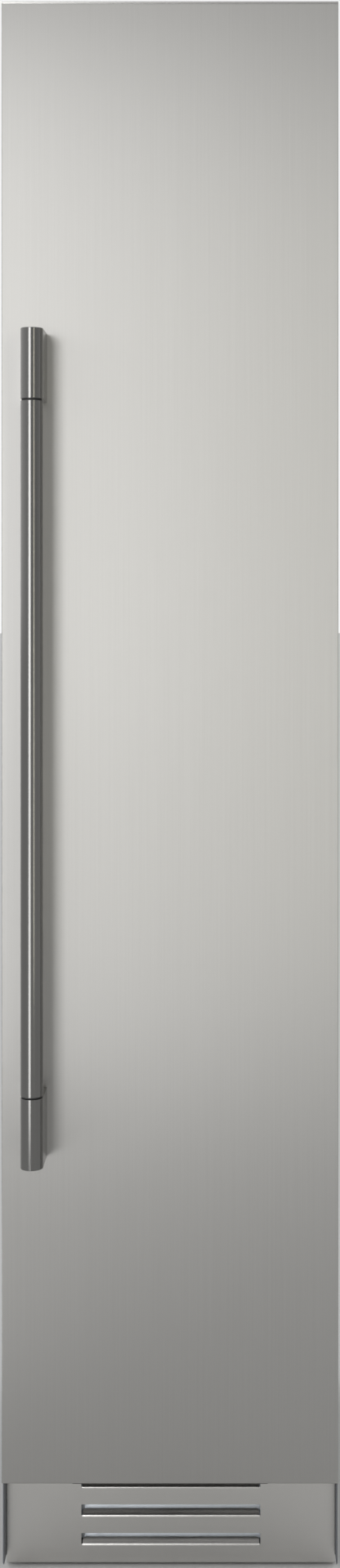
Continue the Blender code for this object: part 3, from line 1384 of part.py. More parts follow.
def lights():
    top = CAVITY_TOP - LIGHT_TOP_SPACE
    front = CASE_FRONT_Y + LIGHT_SETBACK
    for name, side in (("light_bar_left", -1), ("light_bar_right", 1)):
        ends = sorted((side * (CAVITY_HALF - FIT), side * (CAVITY_HALF - FIT - LIGHT_DEPTH)))
        low = (ends[0], front, top - LIGHT_HEIGHT)
        bar = block(name, low, (ends[1], front + LIGHT_WIDTH, top), LIGHT_DEPTH / 3, 2)
        place(smooth(bar), "lamp")


def controls():
    """A housing under the ceiling with a lens that covers its display and touch keys."""
    half = CONTROL_WIDTH / 2
    front = CASE_FRONT_Y + CONTROL_SETBACK
    top = CAVITY_TOP - FIT
    low = (-half, front, top - CONTROL_HEIGHT)
    housing = block("control_panel", low, (half, front + CONTROL_DEPTH, top), CONTROL_EDGE, 2)
    middle = top - CONTROL_HEIGHT / 2
    low = (-LENS_WIDTH / 2, front, middle - LENS_HEIGHT / 2)
    high = (LENS_WIDTH / 2, front + LENS_THICKNESS, middle + LENS_HEIGHT / 2)
    seat_low = (low[0] - FIT, front - OVERRUN, low[2] - FIT)
    cut(housing, block("lens_seat", seat_low, (high[0] + FIT, high[1] + FIT, high[2] + FIT)))
    lens = block("display_lens", low, high)
    return place(smooth(housing), "white_plastic"), place(lens, "black")


def build_door():
    pieces = [door_panel(), door_top_cap(), door_body(), door_liner(), door_gasket()]
    names = ("door_bin_lower", "door_bin_middle", "door_bin_upper")
    pieces += [door_bin(name, height) for name, height in zip(names, BIN_HEIGHTS)]
    pieces += handle()
    pieces.append(door_bush("door_lower_bush", BODY_BOTTOM, 1))
    pieces.append(door_bush("door_upper_bush", BODY_TOP, -1))
    carry(pivot("door_hinge", (HINGE_X, HINGE_Y, 0.0)), pieces)


def build_cabinet():
    hinge_bracket("lower_hinge_bracket", BODY_BOTTOM, 1)
    hinge_bracket("upper_hinge_bracket", BODY_TOP, -1)
    case_side("case_left_side", -1)
    case_side("case_right_side", 1)
    case_top()
    case_back()
    case_floor()
    foam_core()
    inner_liner()
    machine_cover()


def build_base():
    base_pan()
    kick_plate()
    kick_baffle()
    for name, (x, y) in zip(("left_leg", "right_leg"), leg_places()):
        levelling_leg(name, x, y)
    for side, (x, y) in zip(("left", "right"), roller_places()):
        roller_bracket(side + "_roller_bracket", x, y)
        roller(side + "_roller", x, y)


def build_machinery():
    compressor()
    condenser()
    condenser_fan_set()
    drain_pan()
    filter_drier()
    electronics_box()
    power_inlet()
    evaporator()


def build_interior():
    for index, height in enumerate(SHELF_HEIGHTS):
        shelf("glass_shelf_%d" % (index + 1), height)
    for name, (floor, top) in DRAWERS.items():
        middle = (DRAWER_FRONT_Y + drawer_back(floor)) / 2
        carry(pivot(name + "_slide", (0.0, middle, top)), [drawer(name)])
    lights()
    controls()


clear_scene()
build_door()
build_cabinet()
build_base()
build_machinery()
build_interior()
bpy.context.view_layer.update()
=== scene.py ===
import json
import math

import bmesh
import bpy
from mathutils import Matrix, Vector

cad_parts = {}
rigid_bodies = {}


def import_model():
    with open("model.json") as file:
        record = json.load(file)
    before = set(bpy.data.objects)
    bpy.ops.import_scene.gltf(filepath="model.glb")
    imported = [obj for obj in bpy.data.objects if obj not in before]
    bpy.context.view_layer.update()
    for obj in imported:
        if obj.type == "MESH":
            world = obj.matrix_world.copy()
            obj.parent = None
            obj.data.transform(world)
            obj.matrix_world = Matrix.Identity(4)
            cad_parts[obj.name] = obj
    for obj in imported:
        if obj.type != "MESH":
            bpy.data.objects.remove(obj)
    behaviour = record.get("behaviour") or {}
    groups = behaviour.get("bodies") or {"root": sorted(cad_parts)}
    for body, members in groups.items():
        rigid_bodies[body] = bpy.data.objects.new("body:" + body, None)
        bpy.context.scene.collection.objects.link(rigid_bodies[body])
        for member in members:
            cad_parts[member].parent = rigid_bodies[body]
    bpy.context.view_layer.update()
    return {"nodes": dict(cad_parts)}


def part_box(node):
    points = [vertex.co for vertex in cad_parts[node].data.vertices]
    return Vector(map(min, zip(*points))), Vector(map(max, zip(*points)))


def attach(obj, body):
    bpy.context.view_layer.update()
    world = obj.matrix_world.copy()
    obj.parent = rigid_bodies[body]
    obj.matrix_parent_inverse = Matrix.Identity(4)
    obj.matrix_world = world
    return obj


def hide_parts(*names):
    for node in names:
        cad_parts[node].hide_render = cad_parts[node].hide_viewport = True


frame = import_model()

nodes = frame["nodes"]


# Shader maths: a Signal is one socket, and a NodeBook adds nodes to one tree

class Signal:
    def __init__(self, book, socket):
        self.book = book
        self.socket = socket

    def math(self, operation, *others):
        return self.book.add("ShaderNodeMath", {"operation": operation}, dict(enumerate((self, *others))))

    def __add__(self, other):
        return self.math("ADD", other)

    def __sub__(self, other):
        return self.math("SUBTRACT", other)

    def __rsub__(self, other):
        return self.math("MULTIPLY", -1.0) + other

    def __mul__(self, other):
        return self.math("MULTIPLY", other)

    __radd__ = __add__
    __rmul__ = __mul__

    def clip(self):
        return self.book.add("ShaderNodeClamp", {}, {"Value": self})

    def above(self, edge, width):
        return ((self - (edge - width / 2)) * (1 / width)).clip()


class NodeBook:
    def __init__(self, tree):
        self.tree = tree

    def add(self, kind, settings=None, inputs=None, output=0):
        node = self.tree.nodes.new(kind)
        for name, value in (settings or {}).items():
            setattr(node, name, value)
        for key, value in (inputs or {}).items():
            self.feed(node.inputs[key], value)
        return Signal(self, node.outputs[output])

    def feed(self, socket, value):
        if isinstance(value, Signal):
            self.tree.links.new(value.socket, socket)
        else:
            socket.default_value = value

    def mixColours(self, first, second, share):
        # sockets 6 and 7 are the node's two colours, and output 2 is their mix
        colours = {0: share, 6: (*first, 1.0), 7: (*second, 1.0)}
        return self.add("ShaderNodeMix", {"data_type": "RGBA"}, colours, output=2)


class Finish(NodeBook):
    # one material, whose fixed values are set on its shader's own sockets
    def __init__(self, name, fixed):
        self.material = bpy.data.materials.new(name)
        self.material.use_nodes = True
        super().__init__(self.material.node_tree)
        self.shader = self.tree.nodes["Principled BSDF"]
        self.place = self.add("ShaderNodeTexCoord", output="Object")
        self.set(fixed)

    def set(self, values):
        for name, value in values.items():
            self.feed(self.shader.inputs[name], value)
        return self

    def noise(self, density, detail=2.0, shift=0.0):
        place = self.add("ShaderNodeMapping", {}, {
            "Vector": self.place, "Location": (shift,) * 3, "Scale": density})
        return self.add("ShaderNodeTexNoise", {}, {"Vector": place, "Scale": 1.0, "Detail": detail})

    def cellColours(self, density):
        return self.add("ShaderNodeTexVoronoi", {}, {"Vector": self.place, "Scale": density}, output=1)

    def relief(self, height, depth):
        return self.set({"Normal": self.add("ShaderNodeBump", {}, {"Height": height, "Distance": depth})})


def brushedSteel(name, settings):
    # fine scratches and wider streaks drawn out along the grain, under slow clouds
    finish = Finish(name, {"Metallic": 1.0, "Anisotropic": settings.get("anisotropic", 0.0)})
    across, along = settings["across"], settings["along"]
    drawn = [across if axis != settings["grain"] else along for axis in "XYZ"]
    scratches = finish.noise([value * settings["fine"] for value in drawn], detail=3.0)
    streaks = finish.noise(drawn, shift=3.7)
    clouds = finish.noise(settings["cloud"], detail=1.0, shift=8.1)
    tone = (scratches * 0.45 + streaks * 0.35 + clouds * 0.20).above(0.5, settings["spread"])
    return finish.set({
        "Base Color": finish.mixColours(settings["dark"], settings["light"], tone),
        "Roughness": scratches * settings["roughGrain"] + (settings["rough"] - settings["roughGrain"] / 2),
    }).relief(scratches * 0.6 + streaks * 0.4, settings["depth"])


def sheetPaint(name, settings):
    # sprayed paint: a low orange peel over the sheet and slight unevenness of gloss
    finish = Finish(name, {"Metallic": settings.get("metallic", 0.0)})
    peel = finish.noise((settings["peel"],) * 3, detail=3.0)
    clouds = finish.noise((5.0,) * 3, shift=4.3)
    return finish.set({
        "Base Color": finish.mixColours(settings["dark"], settings["light"], clouds * 0.6 + peel * 0.4),
        "Roughness": peel * 0.10 + clouds * 0.08 + (settings["rough"] - 0.09),
    }).relief(peel, settings["depth"])


def zincSheet(name, settings):
    # flat crystals of zinc, each with its own grey and gloss
    finish = Finish(name, {"Metallic": 1.0})
    crystals = finish.add("ShaderNodeSeparateColor", {}, {0: finish.cellColours(settings["crystals"])})
    rolled = finish.noise((60.0, 60.0, 4.0), shift=1.9)
    tone = crystals * 0.65 + rolled * 0.35
    return finish.set({
        "Base Color": finish.mixColours(settings["dark"], settings["light"], tone),
        "Roughness": crystals * 0.16 + (settings["rough"] - 0.08),
    }).relief(rolled, settings["depth"])


def mouldedPlastic(name, settings):
    # a mould's fine texture with slow flow marks, for plastic, glass, rubber and foam
    finish = Finish(name, settings.get("fixed", {}))
    texture = finish.noise((settings["texture"],) * 3, detail=3.0)
    flow = finish.noise((9.0, 9.0, 2.5), shift=6.6)
    return finish.set({
        "Base Color": finish.mixColours(settings["dark"], settings["light"], flow * 0.7 + texture * 0.3),
        "Roughness": texture * 0.08 + flow * 0.10 + (settings["rough"] - 0.09),
    }).relief(texture, settings["depth"])


finishSettings = {
    "doorSteel": (brushedSteel, {
        "grain": "Z", "across": 420.0, "along": 1.6, "fine": 4.0, "cloud": (2.5, 2.5, 0.8), "spread": 0.5,
        "dark": (0.495, 0.488, 0.473), "light": (0.545, 0.539, 0.524), "rough": 0.42, "roughGrain": 0.06,
        "anisotropic": 0.8, "depth": 0.000004}),
    # the handle's steel is a darker copy of the door's steel: painted shade, its grey lowered so that the
    # handle looks darker
    "handleSteel": (brushedSteel, {
        "grain": "Z", "across": 500.0, "along": 2.0, "fine": 4.0, "cloud": (4.0, 4.0, 1.0), "spread": 0.5,
        "dark": (0.205, 0.203, 0.198), "light": (0.240, 0.238, 0.232), "rough": 0.17, "roughGrain": 0.04,
        "depth": 0.000002}),
    # the kick plate's and the top cap's steel is a lighter copy of the door's steel: painted light, its
    # grey raised so that they look brighter
    "kickSteel": (brushedSteel, {
        "grain": "Z", "across": 420.0, "along": 6.0, "fine": 4.0, "cloud": (6.0, 6.0, 6.0), "spread": 0.5,
        "dark": (0.68, 0.67, 0.65), "light": (0.72, 0.71, 0.69), "rough": 0.26, "roughGrain": 0.05,
        "anisotropic": 0.3, "depth": 0.000004}),
    "zinc": (zincSheet, {
        "crystals": 150.0, "dark": (0.62, 0.66, 0.71), "light": (0.72, 0.76, 0.81), "rough": 0.42,
        "depth": 0.00003}),
    "basePaint": (sheetPaint, {
        "peel": 900.0, "dark": (0.095, 0.102, 0.118), "light": (0.130, 0.138, 0.155), "rough": 0.45,
        "depth": 0.00004}),
    "casePaint": (sheetPaint, {
        "peel": 800.0, "dark": (0.29, 0.30, 0.31), "light": (0.34, 0.35, 0.36), "rough": 0.46,
        "depth": 0.00004}),
    "blackPaint": (sheetPaint, {
        "peel": 700.0, "dark": (0.018, 0.018, 0.020), "light": (0.034, 0.034, 0.036), "rough": 0.40,
        "depth": 0.00005}),
    "foam": (mouldedPlastic, {
        "texture": 500.0, "dark": (0.66, 0.56, 0.30), "light": (0.84, 0.76, 0.50), "rough": 0.85,
        "depth": 0.0004}),
    "whitePlastic": (mouldedPlastic, {
        "texture": 1100.0, "dark": (0.74, 0.755, 0.765), "light": (0.81, 0.82, 0.83), "rough": 0.36,
        "depth": 0.00002}),
    "greyPlastic": (mouldedPlastic, {
        "texture": 900.0, "dark": (0.36, 0.37, 0.39), "light": (0.43, 0.44, 0.46), "rough": 0.50,
        "depth": 0.00005}),
    "blackPlastic": (mouldedPlastic, {
        "texture": 900.0, "dark": (0.010, 0.010, 0.011), "light": (0.022, 0.022, 0.023), "rough": 0.48,
        "depth": 0.00005}),
    "clearPlastic": (mouldedPlastic, {
        "texture": 60.0, "dark": (0.88, 0.91, 0.93), "light": (0.94, 0.96, 0.97), "rough": 0.17,
        "depth": 0.0002, "fixed": {"Transmission Weight": 0.85, "IOR": 1.49}}),
    "shelfGlass": (mouldedPlastic, {
        "texture": 12.0, "dark": (0.80, 0.90, 0.87), "light": (0.86, 0.94, 0.92), "rough": 0.12,
        "depth": 0.0001, "fixed": {"Transmission Weight": 0.92, "IOR": 1.52}}),
    "rubber": (mouldedPlastic, {
        "texture": 600.0, "dark": (0.13, 0.134, 0.14), "light": (0.185, 0.19, 0.195), "rough": 0.68,
        "depth": 0.00008}),
    "aluminium": (brushedSteel, {
        "grain": "X", "across": 260.0, "along": 3.0, "fine": 3.0, "cloud": (5.0, 5.0, 5.0), "spread": 0.34,
        "dark": (0.66, 0.67, 0.68), "light": (0.78, 0.79, 0.80), "rough": 0.34, "roughGrain": 0.08,
        "depth": 0.00002}),
    "copper": (brushedSteel, {
        "grain": "Z", "across": 200.0, "along": 12.0, "fine": 2.0, "cloud": (25.0, 25.0, 25.0),
        "spread": 0.5, "dark": (0.50, 0.24, 0.14), "light": (0.80, 0.46, 0.31), "rough": 0.30,
        "roughGrain": 0.10, "depth": 0.00003}),
    "lamp": (mouldedPlastic, {
        "texture": 1500.0, "dark": (0.86, 0.87, 0.88), "light": (0.93, 0.94, 0.95), "rough": 0.30,
        "depth": 0.00003, "fixed": {"Emission Color": (1.0, 0.98, 0.94, 1.0), "Emission Strength": 7.0}}),
    "lens": (mouldedPlastic, {
        "texture": 300.0, "dark": (0.008, 0.009, 0.012), "light": (0.014, 0.016, 0.020), "rough": 0.16,
        "depth": 0.00001}),
}
finishes = {name: make(name, settings) for name, (make, settings) in finishSettings.items()}

nodeFinishes = {
    "doorSteel": "door_panel door_top_cap",
    "handleSteel": "handle_upper_block handle_lower_block handle_bar handle_upper_stud handle_lower_stud",
    "kickSteel": "kick_plate",
    "zinc": "kick_baffle case_back case_floor left_roller_bracket right_roller_bracket upper_hinge_bracket"
            " lower_hinge_bracket machine_cover",
    "basePaint": "base_pan",
    "casePaint": "case_left_side case_right_side case_top",
    "blackPaint": "compressor condenser_coil",
    "foam": "foam_core",
    "whitePlastic": "door_body door_liner inner_liner evaporator_cover door_bin_lower door_bin_middle"
                    " door_bin_upper condenser_fan",
    "greyPlastic": "evaporator_fan electronics_box drain_pan control_panel door_lower_bush door_upper_bush",
    "blackPlastic": "handle_upper_ring handle_lower_ring condenser_fan_shroud condenser_fan_motor"
                    " evaporator_fan_motor power_inlet left_leg right_leg left_roller right_roller",
    "clearPlastic": "lower_drawer middle_drawer upper_drawer",
    "shelfGlass": "glass_shelf_1 glass_shelf_2 glass_shelf_3 glass_shelf_4",
    "rubber": "door_gasket",
    "aluminium": "evaporator_coil",
    "copper": "filter_drier",
    "lamp": "light_bar_left light_bar_right",
    "lens": "display_lens",
}
for finishName, names in nodeFinishes.items():
    for nodeName in names.split():
        for materialSlot in nodes[nodeName].material_slots:
            materialSlot.material = finishes[finishName].material
print("finishes: %d" % len(finishes))

# Modelling: small steps over bpy.ops that every piece uses

near = 0.0001  # places closer than this, in metres, count as one
mostly = 0.9  # share of a direction along an axis from which it counts as that axis's


def clearSelection():
    bpy.ops.object.select_all(action="DESELECT")


def pickOnly(piece):
    clearSelection()
    piece.select_set(True)
    bpy.context.view_layer.objects.active = piece


def rename(piece, name):
    piece.name = name
    piece.data.name = name
    return piece


def settle(piece):
    pickOnly(piece)
    bpy.ops.object.transform_apply(location=True, rotation=True, scale=True)
    return piece


def addBlock(name, low, high):
    clearSelection()
    bpy.ops.mesh.primitive_cube_add(size=1, location=[(a + b) / 2 for a, b in zip(low, high)])
    piece = rename(bpy.context.object, name)
    piece.scale = [b - a for a, b in zip(low, high)]
    return settle(piece)


def addSheet(name, low, high):
    # an upright plane at the front of a box
    clearSelection()
    bpy.ops.mesh.primitive_plane_add(size=1, rotation=(math.radians(90), 0, 0),
                                     location=((low.x + high.x) / 2, low.y, (low.z + high.z) / 2))
    piece = rename(bpy.context.object, name)
    piece.scale = (high.x - low.x, high.z - low.z, 1)
    return settle(piece)


def addRod(name, centre, radius, length, axis="Z", sides=48):
    turns = {"X": (0, math.radians(90), 0), "Y": (math.radians(90), 0, 0), "Z": (0, 0, 0)}
    clearSelection()
    bpy.ops.mesh.primitive_cylinder_add(vertices=sides, radius=radius, depth=length, location=centre,
                                        rotation=turns[axis])
    return settle(rename(bpy.context.object, name))


def openEdit(piece):
    pickOnly(piece)
    bpy.ops.object.mode_set(mode="EDIT")


def closeEdit():
    bpy.ops.object.mode_set(mode="OBJECT")


def choose(piece, kind, test):
    # selects the faces, edges or points whose middle and direction pass the test
    bpy.ops.mesh.select_mode(type=kind)
    bpy.ops.mesh.select_all(action="DESELECT")
    shape = bmesh.from_edit_mesh(piece.data)
    if kind == "FACE":
        for face in shape.faces:
            face.select_set(bool(test(face.calc_center_median(), face.normal)))
    elif kind == "EDGE":
        for edge in shape.edges:
            first, second = (vert.co for vert in edge.verts)
            edge.select_set(bool(test((first + second) / 2, (second - first).normalized())))
    else:
        for vert in shape.verts:
            vert.select_set(bool(test(vert.co, vert.normal)))
    shape.select_flush_mode()
    bmesh.update_edit_mesh(piece.data)


def extrude(kind, move):
    settings = {"TRANSFORM_OT_translate": {"value": move}}
    if kind == "FACE":
        bpy.ops.mesh.extrude_region_move(**settings)
    else:
        bpy.ops.mesh.extrude_edges_move(**settings)


def cutAcross(place, way, **settings):
    bpy.ops.mesh.select_all(action="SELECT")
    bpy.ops.mesh.bisect(plane_co=place, plane_no=way, **settings)


def outwards():
    bpy.ops.mesh.select_all(action="SELECT")
    bpy.ops.mesh.normals_make_consistent(inside=False)


def applied(piece, kind, **settings):
    pickOnly(piece)
    modifier = piece.modifiers.new(kind, kind)
    for key, value in settings.items():
        setattr(modifier, key, value)
    bpy.ops.object.modifier_apply(modifier=modifier.name)
    return piece


def polished(piece, angle=38.0):
    pickOnly(piece)
    bpy.ops.object.shade_smooth_by_angle(angle=math.radians(angle))
    return applied(piece, "WEIGHTED_NORMAL", keep_sharp=True)


def softened(piece, width, segments=3, angle=35.0):
    applied(piece, "BEVEL", width=width, segments=segments, limit_method="ANGLE",
            angle_limit=math.radians(angle))
    return polished(piece)


def thickened(piece, sheet):
    return applied(piece, "SOLIDIFY", thickness=sheet, offset=-1.0, use_even_offset=True)


def joined(name, pieces):
    pickOnly(pieces[0])
    for piece in pieces[1:]:
        piece.select_set(True)
    if len(pieces) > 1:
        bpy.ops.object.join()
    return rename(bpy.context.object, name)


def spread(piece, name, places):
    # one copy with its own mesh at each place
    copies = []
    for place in places:
        pickOnly(piece)
        bpy.ops.object.duplicate(linked=False)
        bpy.context.object.location = place
        copies.append(settle(bpy.context.object))
    bpy.data.objects.remove(piece, do_unlink=True)
    return joined(name, copies)


# height and rim are shares of the radius, socketDepth and edge of the height
screwShape = {"sides": 24, "height": 0.6, "rim": 0.5, "socketDepth": 0.6, "edge": 0.2}


def screwHeads(name, radius, facing, places):
    # pan heads with a round socket
    height = radius * screwShape["height"]
    head = addRod("screwHead", (0, 0, height / 2), radius, height, sides=screwShape["sides"])
    openEdit(head)
    choose(head, "FACE", lambda middle, normal: normal.z > mostly)
    bpy.ops.mesh.inset(thickness=radius * screwShape["rim"])
    extrude("FACE", (0, 0, -height * screwShape["socketDepth"]))
    closeEdit()
    softened(head, height * screwShape["edge"], segments=2)
    head.rotation_euler = Vector(facing).to_track_quat("Z", "Y").to_euler()
    return polished(spread(settle(head), name, places))


def ownCopy(piece, name):
    # a second object with a mesh of its own
    twin = piece.copy()
    twin.data = piece.data.copy()
    bpy.context.scene.collection.objects.link(twin)
    return rename(twin, name)


def softCopy(node, name, width):
    # the node's own shape with its loose triangles merged and its edges rounded
    piece = ownCopy(nodes[node], name)
    for key in list(piece.keys()):
        del piece[key]
    piece.parent = None
    openEdit(piece)
    bpy.ops.mesh.select_all(action="SELECT")
    bpy.ops.mesh.remove_doubles(threshold=near / 10)
    bpy.ops.mesh.dissolve_limited(angle_limit=math.radians(1))
    closeEdit()
    return softened(piece, width, segments=2)


def fitted(piece, body, slot, finish, *replaced):
    piece.data.materials.clear()
    piece.data.materials.append(finishes[finish].material)
    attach(piece, body)
    if replaced:
        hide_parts(*replaced)


# Door skin and its cap: the skin's top edges stay square under the cap

doorSkin = {"edge": 0.0014, "sheet": 0.0012, "capEdge": 0.0004}


def makeDoorSkin():
    low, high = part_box("door_panel")
    skin = addBlock("doorSkin", low, high)
    openEdit(skin)
    choose(skin, "FACE", lambda middle, normal: normal.y > mostly)
    bpy.ops.mesh.delete(type="FACE")
    choose(skin, "EDGE", lambda middle, way: middle.y < high.y - doorSkin["edge"]
           and middle.z < high.z - doorSkin["edge"])
    bpy.ops.mesh.bevel(offset=doorSkin["edge"], segments=4, affect="EDGES")
    closeEdit()
    fitted(polished(thickened(skin, doorSkin["sheet"])), "door", "stainless", "doorSteel", "door_panel")

    low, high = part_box("door_top_cap")
    cap = addBlock("doorCap", low, high)
    openEdit(cap)
    choose(cap, "EDGE", lambda middle, way: middle.z > high.z - near and middle.y < low.y + near)
    bpy.ops.mesh.bevel(offset=doorSkin["capEdge"], segments=5, affect="EDGES")
    closeEdit()
    # the cap takes the lighter copy of the door's steel: painted light
    fitted(polished(cap), "door", "stainless", "kickSteel", "door_top_cap")


# Handle: two blocks with a half round front, and the bar between its dark rings

handle = {"sides": 96, "edge": 0.0004, "edgeAngle": 60.0, "ringSides": 64, "ringEdge": 0.0003}


def makeHandle():
    for end in ("upper", "lower"):
        low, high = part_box("handle_%s_block" % end)
        radius = (high.x - low.x) / 2
        middle = ((low.x + high.x) / 2, low.y + radius, (low.z + high.z) / 2)
        block = addRod("handleBlock" + end.title(), middle, radius, high.z - low.z, sides=handle["sides"])
        openEdit(block)
        cutAcross(middle, (0, 1, 0), clear_outer=True, use_fill=True)
        choose(block, "FACE", lambda place, normal: normal.y > mostly)
        extrude("FACE", (0, high.y - middle[1], 0))
        closeEdit()
        softened(block, handle["edge"], angle=handle["edgeAngle"])
        # the blocks and the bar take the darker copy of the door's steel: painted shade
        fitted(block, "door", "stainless", "handleSteel", "handle_%s_block" % end)
        low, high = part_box("handle_%s_ring" % end)
        ring = addRod("handleRing" + end.title(), (low + high) / 2, (high.x - low.x) / 2, high.z - low.z,
                      sides=handle["ringSides"])
        softened(ring, handle["ringEdge"], segments=2)
        fitted(ring, "door", "black_plastic", "blackPlastic", "handle_%s_ring" % end)
    low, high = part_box("handle_bar")
    bar = addRod("handleBar", (low + high) / 2, (high.x - low.x) / 2, high.z - low.z, sides=handle["sides"])
    softened(bar, handle["edge"], angle=handle["edgeAngle"])
    fitted(bar, "door", "stainless", "handleSteel", "handle_bar")


# Kick plate: one sheet with three slots whose tabs are bent back from the lower edge

kick = {"sheet": 0.0012, "slots": 3, "firstSlot": 0.0288, "pitch": 0.0392, "slotHeight": 0.0157,
        "slotHalf": 0.1227, "relief": 0.0016, "tabLength": 0.0104, "lean": 50.0, "bend": 0.0016,
        "corner": 0.0040, "fold": 0.0027}


def makeKickPlate():
    low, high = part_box("kick_plate")
    depth = high.y - low.y
    bottoms = [kick["firstSlot"] + index * kick["pitch"] for index in range(kick["slots"])]
    tabHalf = kick["slotHalf"] - kick["relief"]
    plate = addSheet("kickPlate", low, high)
    openEdit(plate)
    cuts = [((x, 0, 0), (1, 0, 0)) for x in (-kick["slotHalf"], -tabHalf, tabHalf, kick["slotHalf"])]
    cuts += [((0, 0, bottom + rise), (0, 0, 1)) for bottom in bottoms for rise in (0.0, kick["slotHeight"])]
    for place, way in cuts:
        cutAcross(place, way)

    def inSlot(middle, normal):
        return abs(middle.x) < kick["slotHalf"] and any(
            bottom < middle.z < bottom + kick["slotHeight"] for bottom in bottoms)

    def onBend(middle, way):
        return (abs(middle.x) < tabHalf and abs(middle.y - low.y) < near and abs(way.x) > mostly
                and any(abs(middle.z - bottom) < near for bottom in bottoms))

    choose(plate, "FACE", inSlot)
    bpy.ops.mesh.delete(type="FACE")
    lean = math.radians(kick["lean"])
    choose(plate, "EDGE", onBend)
    extrude("EDGE", (0, math.sin(lean) * kick["tabLength"], math.cos(lean) * kick["tabLength"]))
    for border in (low.z, high.z):
        choose(plate, "EDGE", lambda middle, way: abs(middle.z - border) < near)
        extrude("EDGE", (0, depth, 0))
    choose(plate, "VERT", lambda place, normal: place.y > low.y + kick["tabLength"] / 2
           and low.z + near < place.z < high.z - near)
    bpy.ops.mesh.bevel(offset=kick["corner"], segments=5, affect="VERTICES")
    choose(plate, "EDGE", onBend)
    bpy.ops.mesh.bevel(offset=kick["bend"], segments=5, affect="EDGES")
    choose(plate, "EDGE", lambda middle, way: abs(middle.y - low.y) < near and abs(way.x) > mostly
           and (middle.z < low.z + near or middle.z > high.z - near))
    bpy.ops.mesh.bevel(offset=kick["fold"], segments=4, affect="EDGES")
    outwards()
    shape = bmesh.from_edit_mesh(plate.data)
    if sum(face.normal.y * face.calc_area() for face in shape.faces) > 0:
        bpy.ops.mesh.flip_normals()  # an open sheet has no inside, so its front is turned to -Y here
    closeEdit()
    # the plate takes the lighter copy of the door's steel: painted light
    fitted(polished(thickened(plate, kick["sheet"])), "cabinet", "stainless", "kickSteel", "kick_plate")


makeDoorSkin()
makeHandle()
makeKickPlate()
print("front: skin, cap, handle and kick plate")

# Screen behind the louvres: a slope behind each slot sends the room's light out above its tab

screen = {"sheet": 0.0008, "ridges": (0.0298, 0.0690, 0.1082), "rise": 0.0257, "depth": 0.0108,
          "smoothAngle": 20.0}


def makeScreen():
    low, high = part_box("kick_baffle")
    sheet = addSheet("kickScreen", low, high)
    openEdit(sheet)
    folds = [(low.z, 1.0), (high.z, (high.z - screen["ridges"][-1]) / screen["rise"])]
    for ridge in screen["ridges"]:
        folds += [(ridge, 0.0), (ridge + screen["rise"], 1.0)]
    folds = [fold for fold in folds if fold[0] <= high.z]
    for height, share in folds:
        if low.z < height < high.z:
            cutAcross((0, 0, height), (0, 0, 1))
    for height, share in folds:
        choose(sheet, "VERT", lambda place, normal: abs(place.z - height) < near)
        bpy.ops.transform.translate(value=(0, screen["depth"] * share, 0))
    closeEdit()
    thickened(sheet, screen["sheet"])
    fitted(polished(sheet, screen["smoothAngle"]), "cabinet", "galvanised", "zinc", "kick_baffle")


# Black trim under the door's lower edge: painted shade, a dark strip standing in for the shade under the
# door

paintedShadeUnderDoor = {"thickness": 0.0010, "gap": 0.0001, "half": 0.132, "front": 0.002, "back": 0.040,
            "edge": 0.0003}


def makePaintedShadeUnderDoor():
    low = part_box("door_panel")[0]
    half, top = paintedShadeUnderDoor["half"], low.z - paintedShadeUnderDoor["gap"]
    trim = addBlock("doorFootTrim", (-half, low.y + paintedShadeUnderDoor["front"], top - paintedShadeUnderDoor["thickness"]),
                    (half, low.y + paintedShadeUnderDoor["back"], top))
    # painted shade: the black strip stands for the shade under the door
    fitted(softened(trim, paintedShadeUnderDoor["edge"], segments=2), "door", "black_plastic", "blackPlastic")


# Parts whose own shape is right, with rounded edges: name, body, slot, finish and width of the edges

